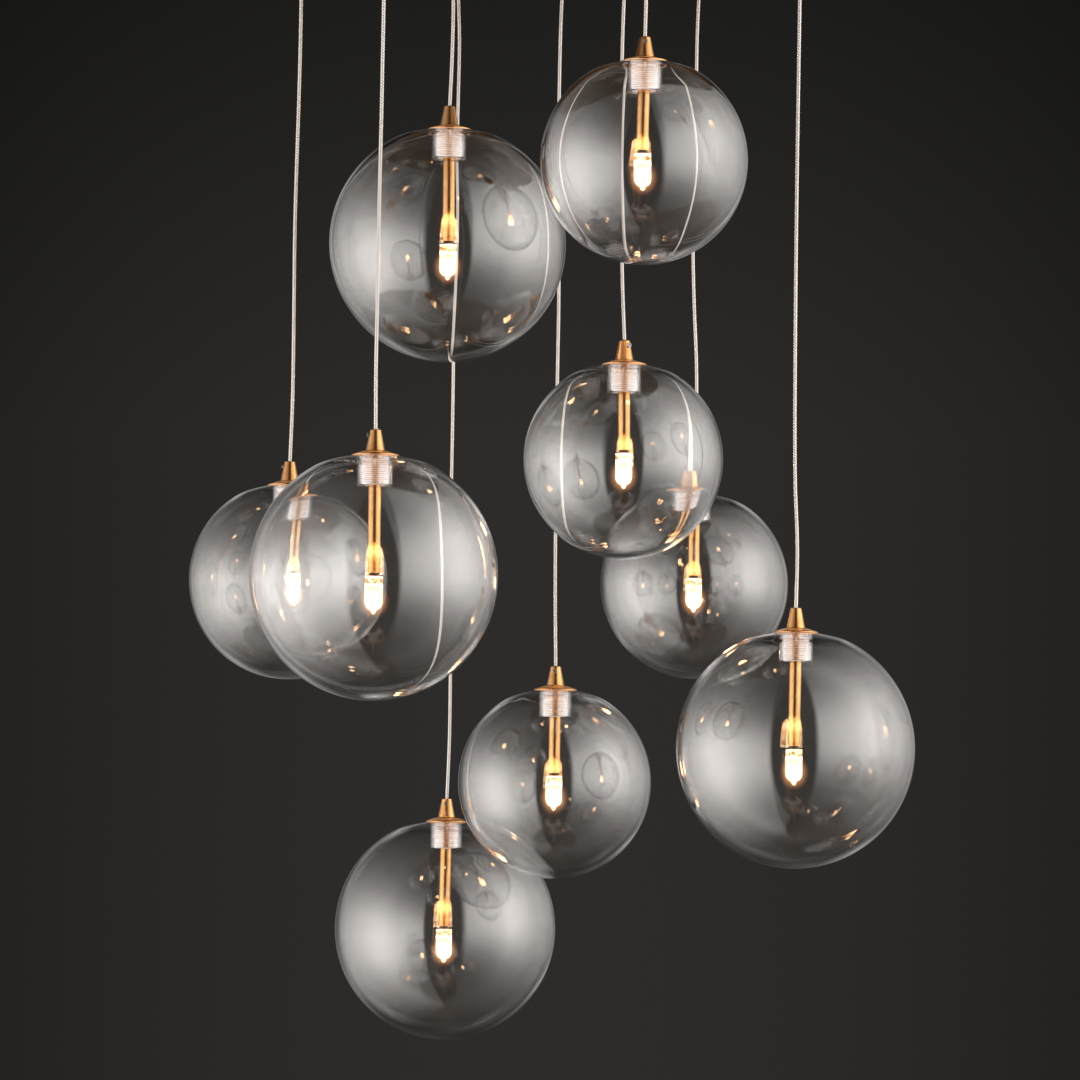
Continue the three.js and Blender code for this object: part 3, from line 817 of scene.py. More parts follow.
# Painted light on the saucer: emission in uneven rings stands in for the lamp's light on its
# underside, and a warm emission for the room's light on its top. Each lies between two lengths
# along the outline.
def capMaterial():
    material = turnedMetal("paintedLitBrass", cap["brass"])
    link = material.node_tree.links.new
    shader = material.node_tree.nodes["Principled BSDF"]
    along = lengthAlong(material, addNode(material, "ShaderNodeTexCoord").outputs)
    # Painted light: emission rings on the saucer's underside stand in for the lamp's light.
    rings = ringNoise(material, along, cap["underRings"], 1.0)
    rings = spread(material, rings, 0.4, 0.6, 0.15, cap["underGlowStrength"])
    below = product(material, between(material, along, cap["underside"], 0.0004), rings)
    # Painted light: a warm emission on the saucer's top stands in for the room's light.
    onTop = between(material, along, cap["topside"], 0.003)
    above = product(material, onTop, cap["topGlowStrength"])
    pastEdge = calculate(material, "GREATER_THAN", along, cap["underside"][1])
    link(blendColours(material, pastEdge, cap["underGlow"], cap["topGlow"]),
         shader.inputs["Emission Color"])
    link(calculate(material, "ADD", below, above), shader.inputs["Emission Strength"])
    return material


brassFinish = turnedMetal("satinBrass", cap["brass"])
capFinish = capMaterial()
steelFinish = turnedMetal("screwSteel", cap["steel"])
for pendant in pendants:
    outline = capOutline(pendant["radius"])
    piece = turnedPiece(f"cord_cap_{pendant['number']}", outline, pendant["centre"], 72)
    body = f"pendant_{pendant['number']}"
    settle(piece, body, capFinish, [f"cap_{pendant['number']}"])
    makeGrubScrew(pendant, steelFinish)
print("caps turned")

# Stems: a brass tube, with the lamp's dark ceramic socket in its lower end
stem = {
    "radius": 0.0039,
    "wall": 0.0008,
    "softness": 0.00025,
    "socketRadius": 0.0033,
    "socketStandOut": 0.002,
    "socketDepth": 0.006,
    # Painted light on the stem: an emission's spread, lift, colour and strength.
    "glowSpread": 0.0038,
    "glowLift": 1.15,
    "glow": (1.0, 0.56, 0.20),
    "glowStrength": 0.65,
    "ceramic": {
        "light": (0.055, 0.045, 0.04), "deep": (0.03, 0.025, 0.022), "specular": 0.6,
        "patches": 60.0, "grain": 2500.0, "roughness": (0.3, 0.55), "bump": 0.2,
    },
}


# Brass as on the cap, with painted light on it: an emission stands in for the light that the round
# glass throws back from the lamp, a bell curve of the height, as far above the globe's middle as
# the lamp is below it.
def stemMaterial(name, glowReach):
    material = turnedMetal(name, cap["brass"])
    shader = material.node_tree.nodes["Principled BSDF"]
    # Painted light: an emission in a bell curve stands in for the lamp's light on the brass.
    shader.inputs["Emission Strength"].default_value = stem["glowStrength"]
    along = lengthAlong(material, addNode(material, "ShaderNodeTexCoord").outputs)
    away = calculate(material, "SUBTRACT", along, glowReach)
    ratio = calculate(material, "DIVIDE", away, stem["glowSpread"])
    bell = calculate(material, "EXPONENT", product(material, ratio, ratio, -1.0))
    colour = blendColours(material, bell, (0.0, 0.0, 0.0), stem["glow"])
    material.node_tree.links.new(colour, shader.inputs["Emission Color"])
    return material


# The stem runs from just under the cap's socket down to where the CAD stem's tube ends.
def makeStem(pendant, tubeFinishes, socketFinish):
    number, centre = pendant["number"], pendant["centre"]
    low, high = (corner.z - centre[2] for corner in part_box(f"stem_{number}"))
    bottom = low + stem["socketStandOut"]
    lampLow, lampHigh = (corner.z - centre[2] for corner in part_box(f"lamp_{number}"))
    glowHeight = -stem["glowLift"] * (lampLow + lampHigh) / 2
    glowReach = round(stem["wall"] + glowHeight - bottom, 4)
    if glowReach not in tubeFinishes:
        name = f"stemBrass{len(tubeFinishes) + 1}"
        tubeFinishes[glowReach] = stemMaterial(name, glowReach)
    bore = stem["radius"] - stem["wall"]
    tube = softCorners(
        [(bore, bottom), (stem["radius"], bottom), (stem["radius"], high), (bore, high)],
        stem["softness"], ring=True,
    )
    piece = turnedPiece(f"stem_tube_{number}", tube, centre, 48, True)
    settle(piece, f"pendant_{number}", tubeFinishes[glowReach],
           [f"stem_{number}"])
    inside = bore - 0.00005
    socket = softCorners([
        (0, low), (stem["socketRadius"], low), (stem["socketRadius"], bottom - 0.0001),
        (inside, bottom - 0.0001), (inside, bottom + stem["socketDepth"]),
        (0, bottom + stem["socketDepth"]),
    ], 0.0002)
    piece = turnedPiece(f"lamp_socket_{number}", socket, centre, 40)
    settle(piece, f"pendant_{number}", socketFinish)


socketFinish = mouldedMaterial("socketCeramic", stem["ceramic"])
stemFinishes = {}
for pendant in pendants:
    makeStem(pendant, stemFinishes, socketFinish)
print("stems fitted", sorted(stemFinishes))

# Lamps: a quartz capsule with a flat pinch, two foils and pins, and the glare of its filament
lamp = {
    "radius": 0.0053,
    "pinchHeight": 0.0064,
    "pinchThickness": 0.0038,
    "shoulderTop": 0.0044,
    "endHeight": 0.0052,
    "pipRadius": 0.0015,
    "pipLength": 0.0026,
    "glareShare": 0.56,
    "glareTop": 0.0080,
    "glareLift": 0.0022,
    "glareGrowth": (-0.0003, 0.0046),
    "glareUpper": (1.0, 0.60, 0.26),
    "pinSpacing": 0.004,
    "pinRadius": 0.0004,
    "pinEnds": (0.0015, -0.0016),
    "foilWidth": 0.0017,
    "foilFlatness": 0.06,
    "foilEnds": (-0.0014, -0.0052),
    "mottleScale": 520.0,
    "mottleTop": (0.0008, 0.0016),
    "mottleEnd": (0.0036, 0.0050),
    "pinchEnd": (0.0056, 0.0096),
    "glare": (1.0, 0.80, 0.52),
    "glareStrength": 22.0,
    "halo": (1.0, 0.46, 0.16),
    "haloStrength": 1.0,
    "cream": (0.85, 0.56, 0.33),
    "mirroredBoost": 8.0,
    "amber": (0.40, 0.17, 0.06),
    "mottle": (0.30, 0.15, 0.07),
    # Painted light on the foils and pins.
    "foilGlow": (0.9, 0.28, 0.05),
    "bloomWide": 0.011,
    "bloomTall": 0.0125,
    "bloomDrop": 0.003,
    "bloom": (1.0, 0.42, 0.18),
    "bloomStrength": 0.6,
}


# Across the pinch a section is a flat rounded bar; it swells to a circle at the shoulder, narrows
# at the end and closes in a pip. A section is a superellipse: its two half-widths, and a power.
def lampSections(top, end, shrink=1.0, startAt=0.0):
    radius = lamp["radius"] * shrink
    pipEnd = end + lamp["pipLength"]
    bodyEnd = pipEnd + lamp["endHeight"]
    pinchRows = np.linspace(top - startAt, top - lamp["pinchHeight"], 14)
    bodyRows = np.linspace(top - lamp["pinchHeight"], bodyEnd, 6)[1:]
    angle = np.linspace(0, math.pi / 2, 9)[1:]
    pip = lamp["pipRadius"] * shrink
    endRows = bodyEnd - lamp["endHeight"] * np.sin(angle)
    endWide = pip + (radius - pip) * np.cos(angle)
    tipAngle = np.linspace(0, math.pi / 2, 7)[1:-1]
    tipRows = pipEnd - lamp["pipLength"] * np.sin(tipAngle)
    tipWide = pip * np.cos(tipAngle) ** 0.8
    height = np.concatenate([pinchRows, bodyRows, endRows, tipRows])
    wide = np.concatenate([np.full(19, radius), endWide, tipWide])
    swell = np.clip((top - lamp["shoulderTop"] - height) / 0.002, 0, 1)
    swell = swell**2 * (3 - 2 * swell)
    flat = lamp["pinchThickness"] / 2 * shrink
    deep = np.minimum(wide, flat + (wide - flat) * swell)
    return height, wide, deep, 2 + 5 * (1 - swell)


# The sections go round as (cos, sin), each raised to 2 over the power, from the top down.
def capsulePiece(name, centre, sections, tip, columns=48):
    height, wide, deep, power = (column[:, None] for column in sections)
    angles = -2 * math.pi * np.arange(columns)[None] / columns
    x, y = np.cos(angles), np.sin(angles)
    x = wide * np.sign(x) * np.abs(x) ** (2 / power)
    y = deep * np.sign(y) * np.abs(y) ** (2 / power)
    grid = np.stack([x, y, np.broadcast_to(height, x.shape)], axis=-1) + centre
    reach = sections[0][0] - sections[0]
    poles = (centre + [0, 0, sections[0][0]], centre + [0, 0, tip])
    return gridPiece(name, grid, reach, poles)


# Lit quartz: the glass glows orange round the white-hot filament. The pinch is cream, mottled
# brown where the foils show, with a bright top edge. A mirror image of it shines stronger, so that
# the faint images in the other globes still sparkle.
def quartzMaterial():
    values = {"Transmission Weight": 0.75, "IOR": 1.46}
    material, shader, where = newMaterial("litQuartz", values)
    link = material.node_tree.links.new
    along = lengthAlong(material, where)
    mottle = grainNoise(material, where["Object"], lamp["mottleScale"], 3.0)
    spots = spread(material, mottle, 0.46, 0.54, 1.0, 0.0)
    belowTop = spread(material, along, *lamp["mottleTop"], 0.0, 1.0)
    aboveBody = spread(material, along, *lamp["mottleEnd"], 1.0, 0.0)
    dim = product(material, belowTop, aboveBody, spots)
    link(blendColours(material, dim, (1.0, 0.94, 0.86), lamp["mottle"]),
         shader.inputs["Base Color"])
    pinch = blendColours(material, dim, lamp["cream"], lamp["amber"])
    upper = spread(material, along, *lamp["pinchEnd"], 1.0, 0.0)
    link(blendColours(material, upper, lamp["halo"], pinch), shader.inputs["Emission Color"])
    mirrored = addNode(material, "ShaderNodeLightPath").outputs["Glossy Depth"]
    mirrored = spread(material, mirrored, 0.0, 1.0, 1.0, lamp["mirroredBoost"])
    link(product(material, mirrored, lamp["haloStrength"]), shader.inputs["Emission Strength"])
    link(spread(material, mottle, 0.3, 0.7, 0.05, 0.2), shader.inputs["Roughness"])
    addBump(material, shader, mottle, 0.3, 0.0003)
    return material


# The glare grows from its faint top to the white-hot body, and its top is yellower.
def glareMaterial():
    material, shader, where = newMaterial("filamentGlare", {"Base Color": (0.9, 0.8, 0.6, 1)})
    link = material.node_tree.links.new
    along = lengthAlong(material, where)
    share = spread(material, along, 0.0, 0.0042, 1.0, 0.0)
    link(blendColours(material, share, lamp["glare"], lamp["glareUpper"]),
         shader.inputs["Emission Color"])
    growth = spread(material, along, *lamp["glareGrowth"], 0.0, 1.0)
    growth = calculate(material, "POWER", growth, 3.0)
    link(product(material, growth, lamp["glareStrength"]), shader.inputs["Emission Strength"])
    return material


# Foils and pins: bright metal with a rolled grain, and painted light on them: an orange emission
# stands in for the lamp's light.
def foilMaterial():
    values = {"Metallic": 1.0, "Roughness": 0.35, "Emission Strength": 0.8}
    material, shader, where = newMaterial("lampFoil", values)
    link = material.node_tree.links.new
    grain = grainNoise(material, where["Object"], 1500.0, 3.0)
    link(blendColours(material, grain, (0.5, 0.42, 0.36), (0.75, 0.6, 0.45)),
         shader.inputs["Base Color"])
    # Painted light: an orange emission stands in for the lamp's light on the foils.
    link(blendColours(material, grain, (0.35, 0.09, 0.01), lamp["foilGlow"]),
         shader.inputs["Emission Color"])
    return material


# Six points up a line: the foot plus a height between two ends.
def uprightLine(foot, ends):
    return foot + np.column_stack([np.zeros((6, 2)), np.linspace(*ends, 6)])


def makeLamp(pendant, quartz, glare, foil):
    number, centre = pendant["number"], pendant["centre"]
    body = f"pendant_{number}"
    end, top = (corner.z - centre[2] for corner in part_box(f"lamp_{number}"))
    shell = capsulePiece(f"lamp_quartz_{number}", centre, lampSections(top, end), end)
    settle(shell, body, quartz, [f"lamp_{number}"])
    tip = end + lamp["glareLift"]
    inner = lampSections(top, tip, lamp["glareShare"], lamp["glareTop"])
    settle(capsulePiece(f"lamp_glare_{number}", centre, inner, tip), body, glare)
    for side, label in ((-1, "left"), (1, "right")):
        foot = centre + [side * lamp["pinSpacing"] / 2, 0, top]
        pin = uprightLine(foot, lamp["pinEnds"])
        settle(tubePiece(f"lamp_pin_{label}_{number}", pin, lamp["pinRadius"], 10), body, foil)
        strip = uprightLine(foot, lamp["foilEnds"])
        flat = tubePiece(f"lamp_foil_{label}_{number}", strip, lamp["foilWidth"] / 2, 8)
        flatten(flat, centre[1], lamp["foilFlatness"])
        settle(flat, body, foil)
    return shell


# Presses a piece's points together along Y, towards a plane.
def flatten(piece, plane, share):
    points = np.zeros(len(piece.data.vertices) * 3, np.float32)
    piece.data.vertices.foreach_get("co", points)
    points = points.reshape(-1, 3)
    points[:, 1] = plane + (points[:, 1] - plane) * share
    piece.data.vertices.foreach_set("co", points.ravel())
    piece.data.update()


quartzFinish, glareFinish, foilFinish = quartzMaterial(), glareMaterial(), foilMaterial()
lampShells = {}
for pendant in pendants:
    shell = makeLamp(pendant, quartzFinish, glareFinish, foilFinish)
    lampShells[pendant["number"]] = shell
print("lamps lit")

# Canopy: a spun brass pan on a steel bar, with nine cord grips and two side screws
canopy = {
    "radius": 0.22,
    "depth": 0.036,
    "wall": 0.0015,
    "corner": 0.005,
    "gripFlange": 0.0065,
    "gripFlangeHeight": 0.003,
    "gripNut": 0.003,
    "gripNipple": 0.0042,
    "gripTip": 0.0029,
    "cordBore": 0.0015,
    "fit": 0.00002,
    "brass": {
        "light": (0.60, 0.325, 0.13), "deep": (0.52, 0.265, 0.10), "rings": 2600.0,
        "clouds": 9.0, "roughness": (0.42, 0.56), "bump": 0.12, "metal": 0.7,
        # mirroredShare: painted shade where the pan is seen in a mirror.
        "mirroredShare": 0.15, "edge": (0.30, 0.16, 0.07), "specular": 0.15,
    },
}


# The pan's outline: along the floor's outside, round the corner, up the wall, over the rim and back.
def makePan(finish):
    radius, wall, corner = canopy["radius"], canopy["wall"], canopy["corner"]
    floor, turn = -canopy["depth"], np.array([radius - corner, -canopy["depth"] + corner])
    outerRound = turn + arcPoints(corner, -math.pi / 2, 0, 8)
    innerRound = turn + arcPoints(corner - wall, 0, -math.pi / 2, 8)
    steps = np.linspace(0, radius - corner, 24)[:-1]
    outside = np.column_stack([steps, np.full(23, floor)])
    inside = np.column_stack([steps[::-1], np.full(23, floor + wall)])
    rim = softCorners([outerRound[-1], (radius, 0), (radius - wall, 0), innerRound[0]], 0.0004)
    outline = np.vstack([outside, outerRound, rim[1:-1], innerRound, inside])
    pan = turnedPiece("canopy_pan", outline, np.zeros(3), 144)
    settle(pan, "canopy", finish, ["canopy_cover"])


# A grip in two pieces: below the pan a flange and a tapered nipple, inside it a hexagon nut.
def makeGrip(pendant, finish):
    number, place = pendant["number"], np.array([*pendant["centre"][:2], 0])
    floor = -canopy["depth"] - canopy["fit"]
    flangeBottom = -canopy["depth"] - canopy["gripFlangeHeight"]
    bore = canopy["cordBore"]
    below = softCorners([
        (bore, gripTip), (canopy["gripTip"], gripTip), (canopy["gripNipple"], flangeBottom),
        (canopy["gripFlange"], flangeBottom), (canopy["gripFlange"], floor), (bore, floor),
    ], 0.0003, ring=True)
    settle(turnedPiece(f"cord_grip_{number}", below, place, 48, True), "canopy", finish)
    low = -canopy["depth"] + canopy["wall"] + canopy["fit"]
    high = low + canopy["gripNut"] - 2 * canopy["fit"]
    size = canopy["gripFlange"] * math.cos(math.pi / 6)
    nut = softCorners([(bore, low), (size, low), (size, high), (bore, high)], 0.0003, ring=True)

    def cutSides(distance, height, around):
        corner = np.minimum(hexagon(distance, around), canopy["gripFlange"])
        return np.where(distance > bore * 1.5, corner, distance)

    settle(turnedPiece(f"grip_nut_{number}", nut, place, 48, True, cutSides), "canopy", finish)


canopyFinish = turnedMetal("spunBrass", canopy["brass"])
makePan(canopyFinish)
for pendant in pendants:
    makeGrip(pendant, canopyFinish)
print("canopy spun")

# Side screws: domed heads with a cross slot
sideScrew = {
    "headRadius": 0.004, "headHeight": 0.0025, "shank": 0.002, "slotArm": 0.0023,
    "slotHalf": 0.00045, "slotDepth": 0.0013, "length": 0.009, "rim": 0.0009, "domeAngle": 1.1,
    "slotShare": 0.78, "slotFloor": 0.0015,
}


# The head's rim goes straight up, then an arc closes it. The slot is a cross: at each angle, the
# further side of two crossed bars.
def makeSideScrew(side, name, finish):
    low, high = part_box(name)
    height = (low.z + high.z) / 2
    seat = (high.x if side > 0 else -low.x) - sideScrew["headHeight"]
    head, tall = sideScrew["headRadius"], sideScrew["headHeight"]
    rim, angle = sideScrew["rim"], np.linspace(0, sideScrew["domeAngle"], 7)
    rise = np.sin(angle) / math.sin(sideScrew["domeAngle"])
    dome = np.column_stack([head * np.cos(angle), rim + (tall - rim) * rise])
    arm = sideScrew["slotArm"] * sideScrew["slotShare"]
    outline = np.vstack([
        [(0, -sideScrew["length"]), (sideScrew["shank"], -sideScrew["length"]),
         (sideScrew["shank"], 0), (head, 0)],
        dome,
        [(arm, tall), (arm, tall - sideScrew["slotDepth"]), (0, tall - sideScrew["slotFloor"])],
    ])
    slotRows = np.zeros((len(outline) - 2, 1), bool)
    slotRows[-2:] = True

    def cutCross(distance, height, around):
        x, y = np.abs(np.cos(around)) + 1e-6, np.abs(np.sin(around)) + 1e-6
        longWay = np.minimum(arm / x, sideScrew["slotHalf"] / y)
        otherWay = np.minimum(sideScrew["slotHalf"] / x, arm / y)
        return np.where(slotRows, np.maximum(longWay, otherWay), distance)

    lay = np.array([[0, 0, side], [0, 1, 0], [-side, 0, 0]])
    place = np.array([side * seat, 0, height])
    piece = turnedPiece(name + "_domed", outline, place, 64, reshape=cutCross, turn=lay)
    settle(piece, "canopy", finish, [name])


makeSideScrew(-1, "side_screw_left", brassFinish)
makeSideScrew(1, "side_screw_right", brassFinish)
print("side screws in")

# Fittings above the pan: the steel bar keeps its CAD shape; the driver and the terminal block
# get softened edges and a seam
fitting = {
    "steel": {
        "light": (0.56, 0.57, 0.58), "deep": (0.42, 0.43, 0.45), "roughness": (0.32, 0.5),
    },
    "driver": {
        "corner": 0.006, "edge": 0.0014, "seam": 0.0004,
        "plastic": {
            "light": (0.80, 0.79, 0.76), "deep": (0.74, 0.73, 0.70), "specular": 0.5,
            "patches": 60.0, "grain": 1800.0, "roughness": (0.4, 0.6), "bump": 0.15,
        },
    },
    "terminal": {
        "corner": 0.002, "edge": 0.0008, "seam": 0.0003,
        "plastic": {
            "light": (0.66, 0.61, 0.49), "deep": (0.60, 0.55, 0.43), "specular": 0.5,
            "patches": 60.0, "grain": 1500.0, "roughness": (0.45, 0.65), "bump": 0.12,
        },
    },
}


# A block: a rounded rectangle goes up the outline of insets and heights, with soft edges above
# and below and a seam round its middle.
def makeBlock(name, node, look, finish):
    low, high = (np.array(corner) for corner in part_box(node))
    middle, half = (low + high) / 2, (high - low) / 2
    edge, seam = look["edge"], look["seam"]
    profile = softCorners([
        (4 * edge, -half[2]), (edge, -half[2]), (0, edge - half[2]), (0, -2 * seam),
        (seam, -seam), (seam, seam), (0, 2 * seam), (0, half[2] - edge), (edge, half[2]),
        (4 * edge, half[2]),
    ], seam / 2)
    quarter = np.linspace(0, math.pi / 2, 7)
    turn = (quarter[None] + np.arange(4)[:, None] * math.pi / 2).ravel()
    signs = np.repeat([(1, 1), (-1, 1), (-1, -1), (1, -1)], 7, axis=0)
    corner = look["corner"]
    around = np.column_stack([np.cos(turn), np.sin(turn)])
    straight = signs * (half[:2] - corner)
    inset = profile[:, 0][:, None, None]
    flat = straight[None] + around[None] * np.maximum(corner - inset, 0.0002)
    flat = flat - signs[None] * np.maximum(inset - corner + 0.0002, 0)
    height = np.broadcast_to(profile[:, 1][:, None, None], (*flat.shape[:2], 1))
    grid = np.concatenate([flat, height], axis=-1) + middle
    poles = (middle + [0, 0, -half[2]], middle + [0, 0, half[2]])
    piece = gridPiece(name, grid, outlineLength(profile), poles)
    settle(piece, "canopy", finish, [node])


# Zinc-plated steel: rolled grain along the bar and faint crystal patches.
def zincMaterial(look):
    material, shader, where = newMaterial("zincSteel", {"Metallic": 1.0})
    link = material.node_tree.links.new
    along = addNode(
        material, "ShaderNodeMapping", {"Vector": where["Object"], "Scale": (20, 900, 900)},
    ).outputs["Vector"]
    grain = grainNoise(material, along, 1.0, 3.0)
    patches = addNode(
        material, "ShaderNodeTexVoronoi", {"Vector": where["Object"], "Scale": 220.0},
    ).outputs["Distance"]
    link(blendColours(material, patches, look["light"], look["deep"]),
         shader.inputs["Base Color"])
    link(spread(material, grain, 0.3, 0.7, *look["roughness"]), shader.inputs["Roughness"])
    addBump(material, shader, grain, 0.08, 0.0001)
    return material


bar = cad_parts["ceiling_bracket"]
bar.data.materials.clear()
bar.data.materials.append(zincMaterial(fitting["steel"]))
driver, terminal = fitting["driver"], fitting["terminal"]
makeBlock("driver_case", "led_driver", driver,
          mouldedMaterial("driverPlastic", driver["plastic"]))
makeBlock("terminal_case", "terminal_block", terminal,
          mouldedMaterial("terminalPlastic", terminal["plastic"]))
print("fittings in")

# Studio: a charcoal backdrop that the glass and the brass see too, a pale floor well below, two
# tall soft panels at the sides, and the lamps' own warm light
studio = {
    "backdropHigh": (0.0118, 0.0115, 0.0105),
    "backdropLow": (0.0262, 0.0250, 0.0232),
    "backdropHeights": (0.09, 0.205),
    "backdropSides": 0.45,
    "backdropWidth": 0.026,
    "room": (0.10, 0.083, 0.073),
    "fill": (0.35, 0.35, 0.36),
    "middle": (0.0, 0.0, -0.45),
    "panelDistance": 2.3,
    "panelRound": (
        (0.0, 0.0), (0.120, 0.0), (0.142, 0.50), (0.33, 0.78), (0.43, 1.0), (0.50, 0.93),
        (0.60, 0.58), (0.71, 0.25), (0.87, 0.0),
    ),
    "panelUpright": (
        (0.0, 1.0), (0.18, 0.95), (0.34, 0.66), (0.50, 0.36), (0.66, 0.17), (0.85, 0.06),
        (1.0, 0.02),
    ),
    "panelTilt": 0.2,
    "panelColour": (1.0, 0.95, 0.92),
    "panelStrength": 3.5,
    "rimRing": ((0.0, 0.0), (0.80, 0.0), (0.88, 1.0), (0.985, 0.8), (0.998, 0.0)),
    "rimRound": ((0.0, 0.05), (0.45, 0.2), (0.68, 1.0), (0.80, 0.55), (1.0, 0.5)),
    "rimPatches": (0.6, 1.4),
    "rimStrength": 0.45,
    "softPlace": (1.2, -0.7, -0.5),
    "softSize": (1.8, 2.0),
    "softWatts": 14.0,
    "lampWatts": 0.05,
    "lampSize": 0.004,
    "lampColour": (1.0, 0.62, 0.3),
    "floor": (0.78, 0.77, 0.75),
    "floorHeight": -2.4,
    "floorRadius": 1.6,
    "floorFade": (1.04, 0.99),
}


def flatPiece(name, corners, material):
    mesh = bpy.data.meshes.new(name)
    mesh.from_pydata(corners, [], [tuple(range(len(corners)))])
    piece = bpy.data.objects.new(name, mesh)
    bpy.context.scene.collection.objects.link(piece)
    piece.data.materials.append(material)
    return piece


# The backdrop fades from its low to its high colour over a small angle above the horizon, and with
# the square of the share to the side. What is mirrored sees the dim room as well, all round but
# behind. Diffuse light is a plain fill.
def hangBackdrop():
    world = bpy.data.worlds.new("studio")
    world.use_nodes = True
    bpy.context.scene.world = world
    where = addNode(world, "ShaderNodeTexCoord").outputs["Generated"]
    parts = addNode(world, "ShaderNodeSeparateXYZ", {0: where}).outputs
    share = spread(world, parts["Z"], *studio["backdropHeights"], 0.0, 1.0)
    seen = blendColours(world, share, studio["backdropLow"], studio["backdropHigh"])
    square = product(world, parts["X"], parts["X"])
    sides = spread(world, square, 0.0, studio["backdropWidth"], 1.0, studio["backdropSides"])
    seen = shadeColour(world, seen, sides)
    front = spread(world, parts["Y"], 0.1, 0.8, 1.0, 0.0)
    inRoom = product(world, seenMirrored(world), front)
    seen = blendColours(world, inRoom, seen, studio["room"])
    diffuse = addNode(world, "ShaderNodeLightPath").outputs["Is Diffuse Ray"]
    seen = blendColours(world, diffuse, seen, studio["fill"])
    world.node_tree.links.new(seen, world.node_tree.nodes["Background"].inputs["Color"])


# The two panels lie on a large sphere round the object. Their light depends on the direction: on
# the angle from the front, and on the height, where the right panel stands higher and the left
# one lower. A faint ring of light behind the object brightens the globes' rims. Only mirrored rays
# see any of it.
def panelMaterial():
    material, shader, where = newMaterial("softPanels", {})
    off = addNode(material, "ShaderNodeVectorMath", {0: where["Object"], 1: studio["middle"]},
                  operation="SUBTRACT").outputs[0]
    towards = addNode(material, "ShaderNodeVectorMath", {0: off}, operation="NORMALIZE").outputs[0]
    parts = addNode(material, "ShaderNodeSeparateXYZ", {0: towards}).outputs
    aside = calculate(material, "ABSOLUTE", parts["X"])
    angle = calculate(material, "ARCTAN2", aside, product(material, parts["Y"], -1.0))
    turned = valueRamp(material, calculate(material, "DIVIDE", angle, math.pi),
                       studio["panelRound"])
    side = calculate(material, "SIGN", parts["X"])
    tilt = product(material, side, studio["panelTilt"])
    upright = calculate(material, "ABSOLUTE", calculate(material, "SUBTRACT", parts["Z"], tilt))
    raised = valueRamp(material, calculate(material, "DIVIDE", upright, 1 + studio["panelTilt"]),
                       studio["panelUpright"])
    panel = product(material, turned, raised, studio["panelStrength"])
    ring = valueRamp(material, parts["Y"], studio["rimRing"])
    rest = calculate(material, "SUBTRACT", 1.0, product(material, parts["Y"], parts["Y"]))
    outward = calculate(material, "SQRT", rest)
    sideways = valueRamp(material, calculate(material, "DIVIDE", aside, outward),
                         studio["rimRound"])
    patchy = grainNoise(material, towards, 5.0, 1.0)
    patchy = spread(material, patchy, 0.35, 0.65, *studio["rimPatches"])
    rim = product(material, ring, sideways, patchy, studio["rimStrength"])
    both = calculate(material, "ADD", panel, rim)
    level = product(material, both, seenMirrored(material))
    return shineThrough(material, shader, studio["panelColour"], level)


# A light that shows in nothing: only what it lights is seen.
def addLight(name, kind, place, **settings):
    data = bpy.data.lights.new(name, kind)
    for key, value in settings.items():
        setattr(data, key, value)
    light = bpy.data.objects.new(name, data)
    light.location = place
    light.visible_camera = False
    light.visible_glossy = False
    light.visible_transmission = False
    bpy.context.scene.collection.objects.link(light)
    return light


# The bloom that a lens shows round a lit lamp: faint light on a ball round it, strongest where the
# ball faces the eye and gone at its edge. It goes with its lamp, and it lights nothing.
def bloomMaterial():
    material, shader, where = newMaterial("lampBloom", {})
    facing = addNode(material, "ShaderNodeLayerWeight", {"Blend": 0.5}).outputs["Facing"]
    middle = calculate(material, "POWER", calculate(material, "SUBTRACT", 1.0, facing), 6.0)
    path = addNode(material, "ShaderNodeLightPath").outputs
    seen = calculate(material, "SUBTRACT", 1.0, path["Is Diffuse Ray"])
    level = product(material, middle, seen, lamp["bloomStrength"])
    return shineThrough(material, shader, lamp["bloom"], level)


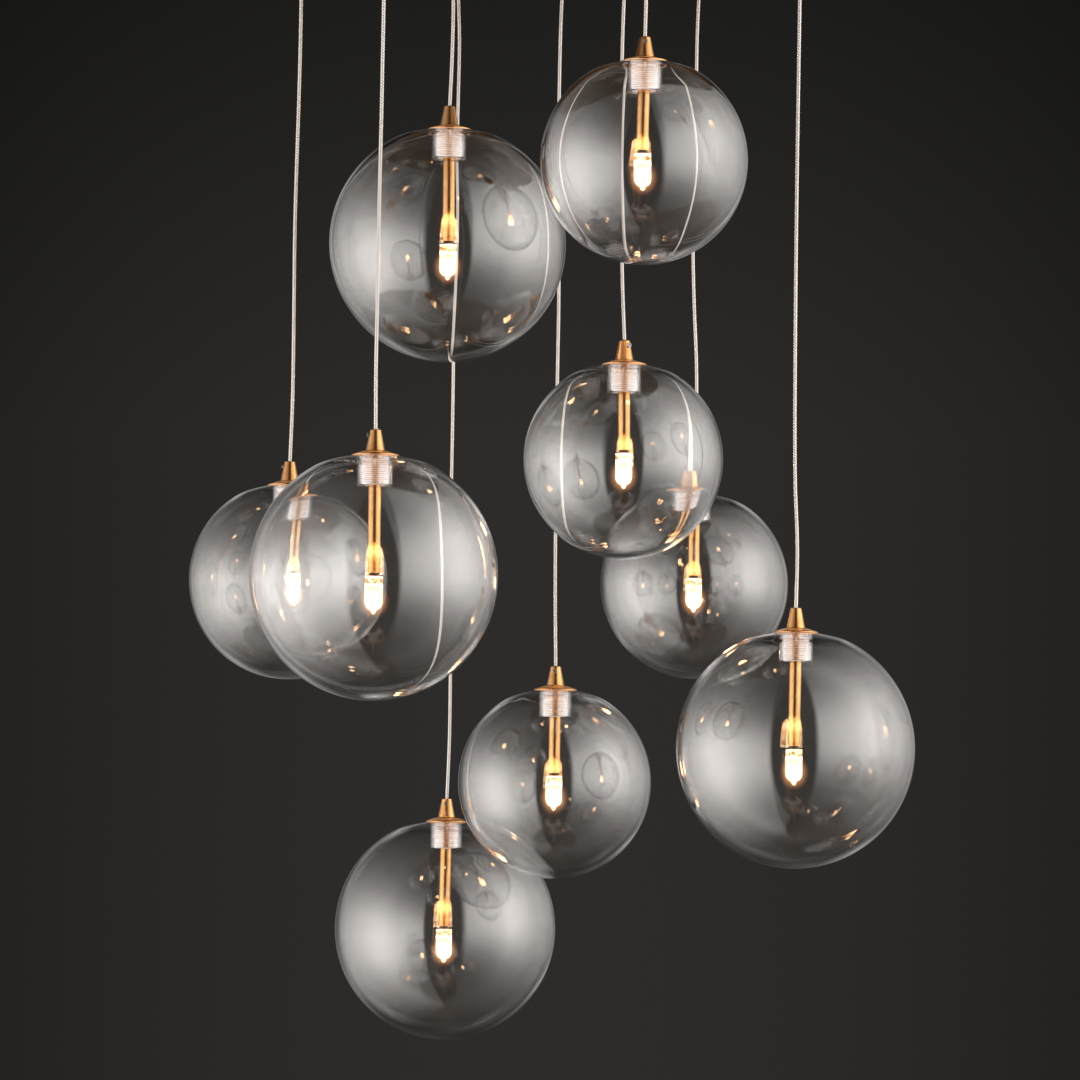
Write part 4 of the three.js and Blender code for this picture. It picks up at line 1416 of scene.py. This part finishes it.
# The floor is pale in its middle and fades out to the backdrop at its rim. No mirrored ray sees it.
def floorMaterial():
    values = {"Roughness": 0.8, "Base Color": (*studio["floor"], 1)}
    material, shader, where = newMaterial("paleFloor", values)
    length = addNode(
        material, "ShaderNodeVectorMath", {0: where["Object"]}, operation="LENGTH",
    ).outputs["Value"]
    height = abs(studio["floorHeight"])
    rim = math.hypot(height, studio["floorRadius"])
    inner, outer = studio["floorFade"]
    fade = spread(material, length, height * inner, rim * outer, 1.0, 0.0)
    direct = calculate(material, "SUBTRACT", 1.0, seenMirrored(material))
    level = product(material, fade, direct)
    material.node_tree.links.new(level, shader.inputs["Alpha"])
    return material


hangBackdrop()
shell = arcPoints(studio["panelDistance"], -math.pi / 2, math.pi / 2, 32)
shell[[0, -1], 0] = 0
panels = turnedPiece("soft_panels", shell, np.array(studio["middle"]), 64)
panels.data.materials.append(panelMaterial())
aside, forward, above = studio["softPlace"]
wide, tall = studio["softSize"]
for side, name in ((-1, "left"), (1, "right")):
    soft = addLight(
        f"soft_{name}", "AREA", (side * aside, forward, above), energy=studio["softWatts"],
        shape="RECTANGLE", size=wide, size_y=tall,
    )
    soft.rotation_euler = (0, side * math.pi / 2, 0)
bloomFinish = bloomMaterial()
for pendant in pendants:
    low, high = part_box(f"lamp_{pendant['number']}")
    place = (low + high) / 2
    glow = addLight(
        f"glow_{pendant['number']}", "POINT", place, energy=studio["lampWatts"],
        color=studio["lampColour"], shadow_soft_size=studio["lampSize"],
    )
    glow.parent = lampShells[pendant["number"]]
    outline = arcPoints(lamp["bloomWide"], -math.pi / 2, math.pi / 2, 24)
    outline[:, 1] *= lamp["bloomTall"] / lamp["bloomWide"]
    outline[[0, -1], 0] = 0
    middle = np.array(place) - [0, 0, lamp["bloomDrop"]]
    bloom = turnedPiece(f"lamp_bloom_{pendant['number']}", outline, middle, 40)
    bloom.data.materials.append(bloomFinish)
    bloom.parent = lampShells[pendant["number"]]
ring = np.linspace(0, 2 * math.pi, 65)[:-1]
flatPiece("floor", np.column_stack([
    studio["floorRadius"] * np.cos(ring), studio["floorRadius"] * np.sin(ring),
    np.full(64, studio["floorHeight"]),
]).tolist(), floorMaterial())
bpy.context.scene.view_settings.view_transform = "Standard"
print("studio lit")
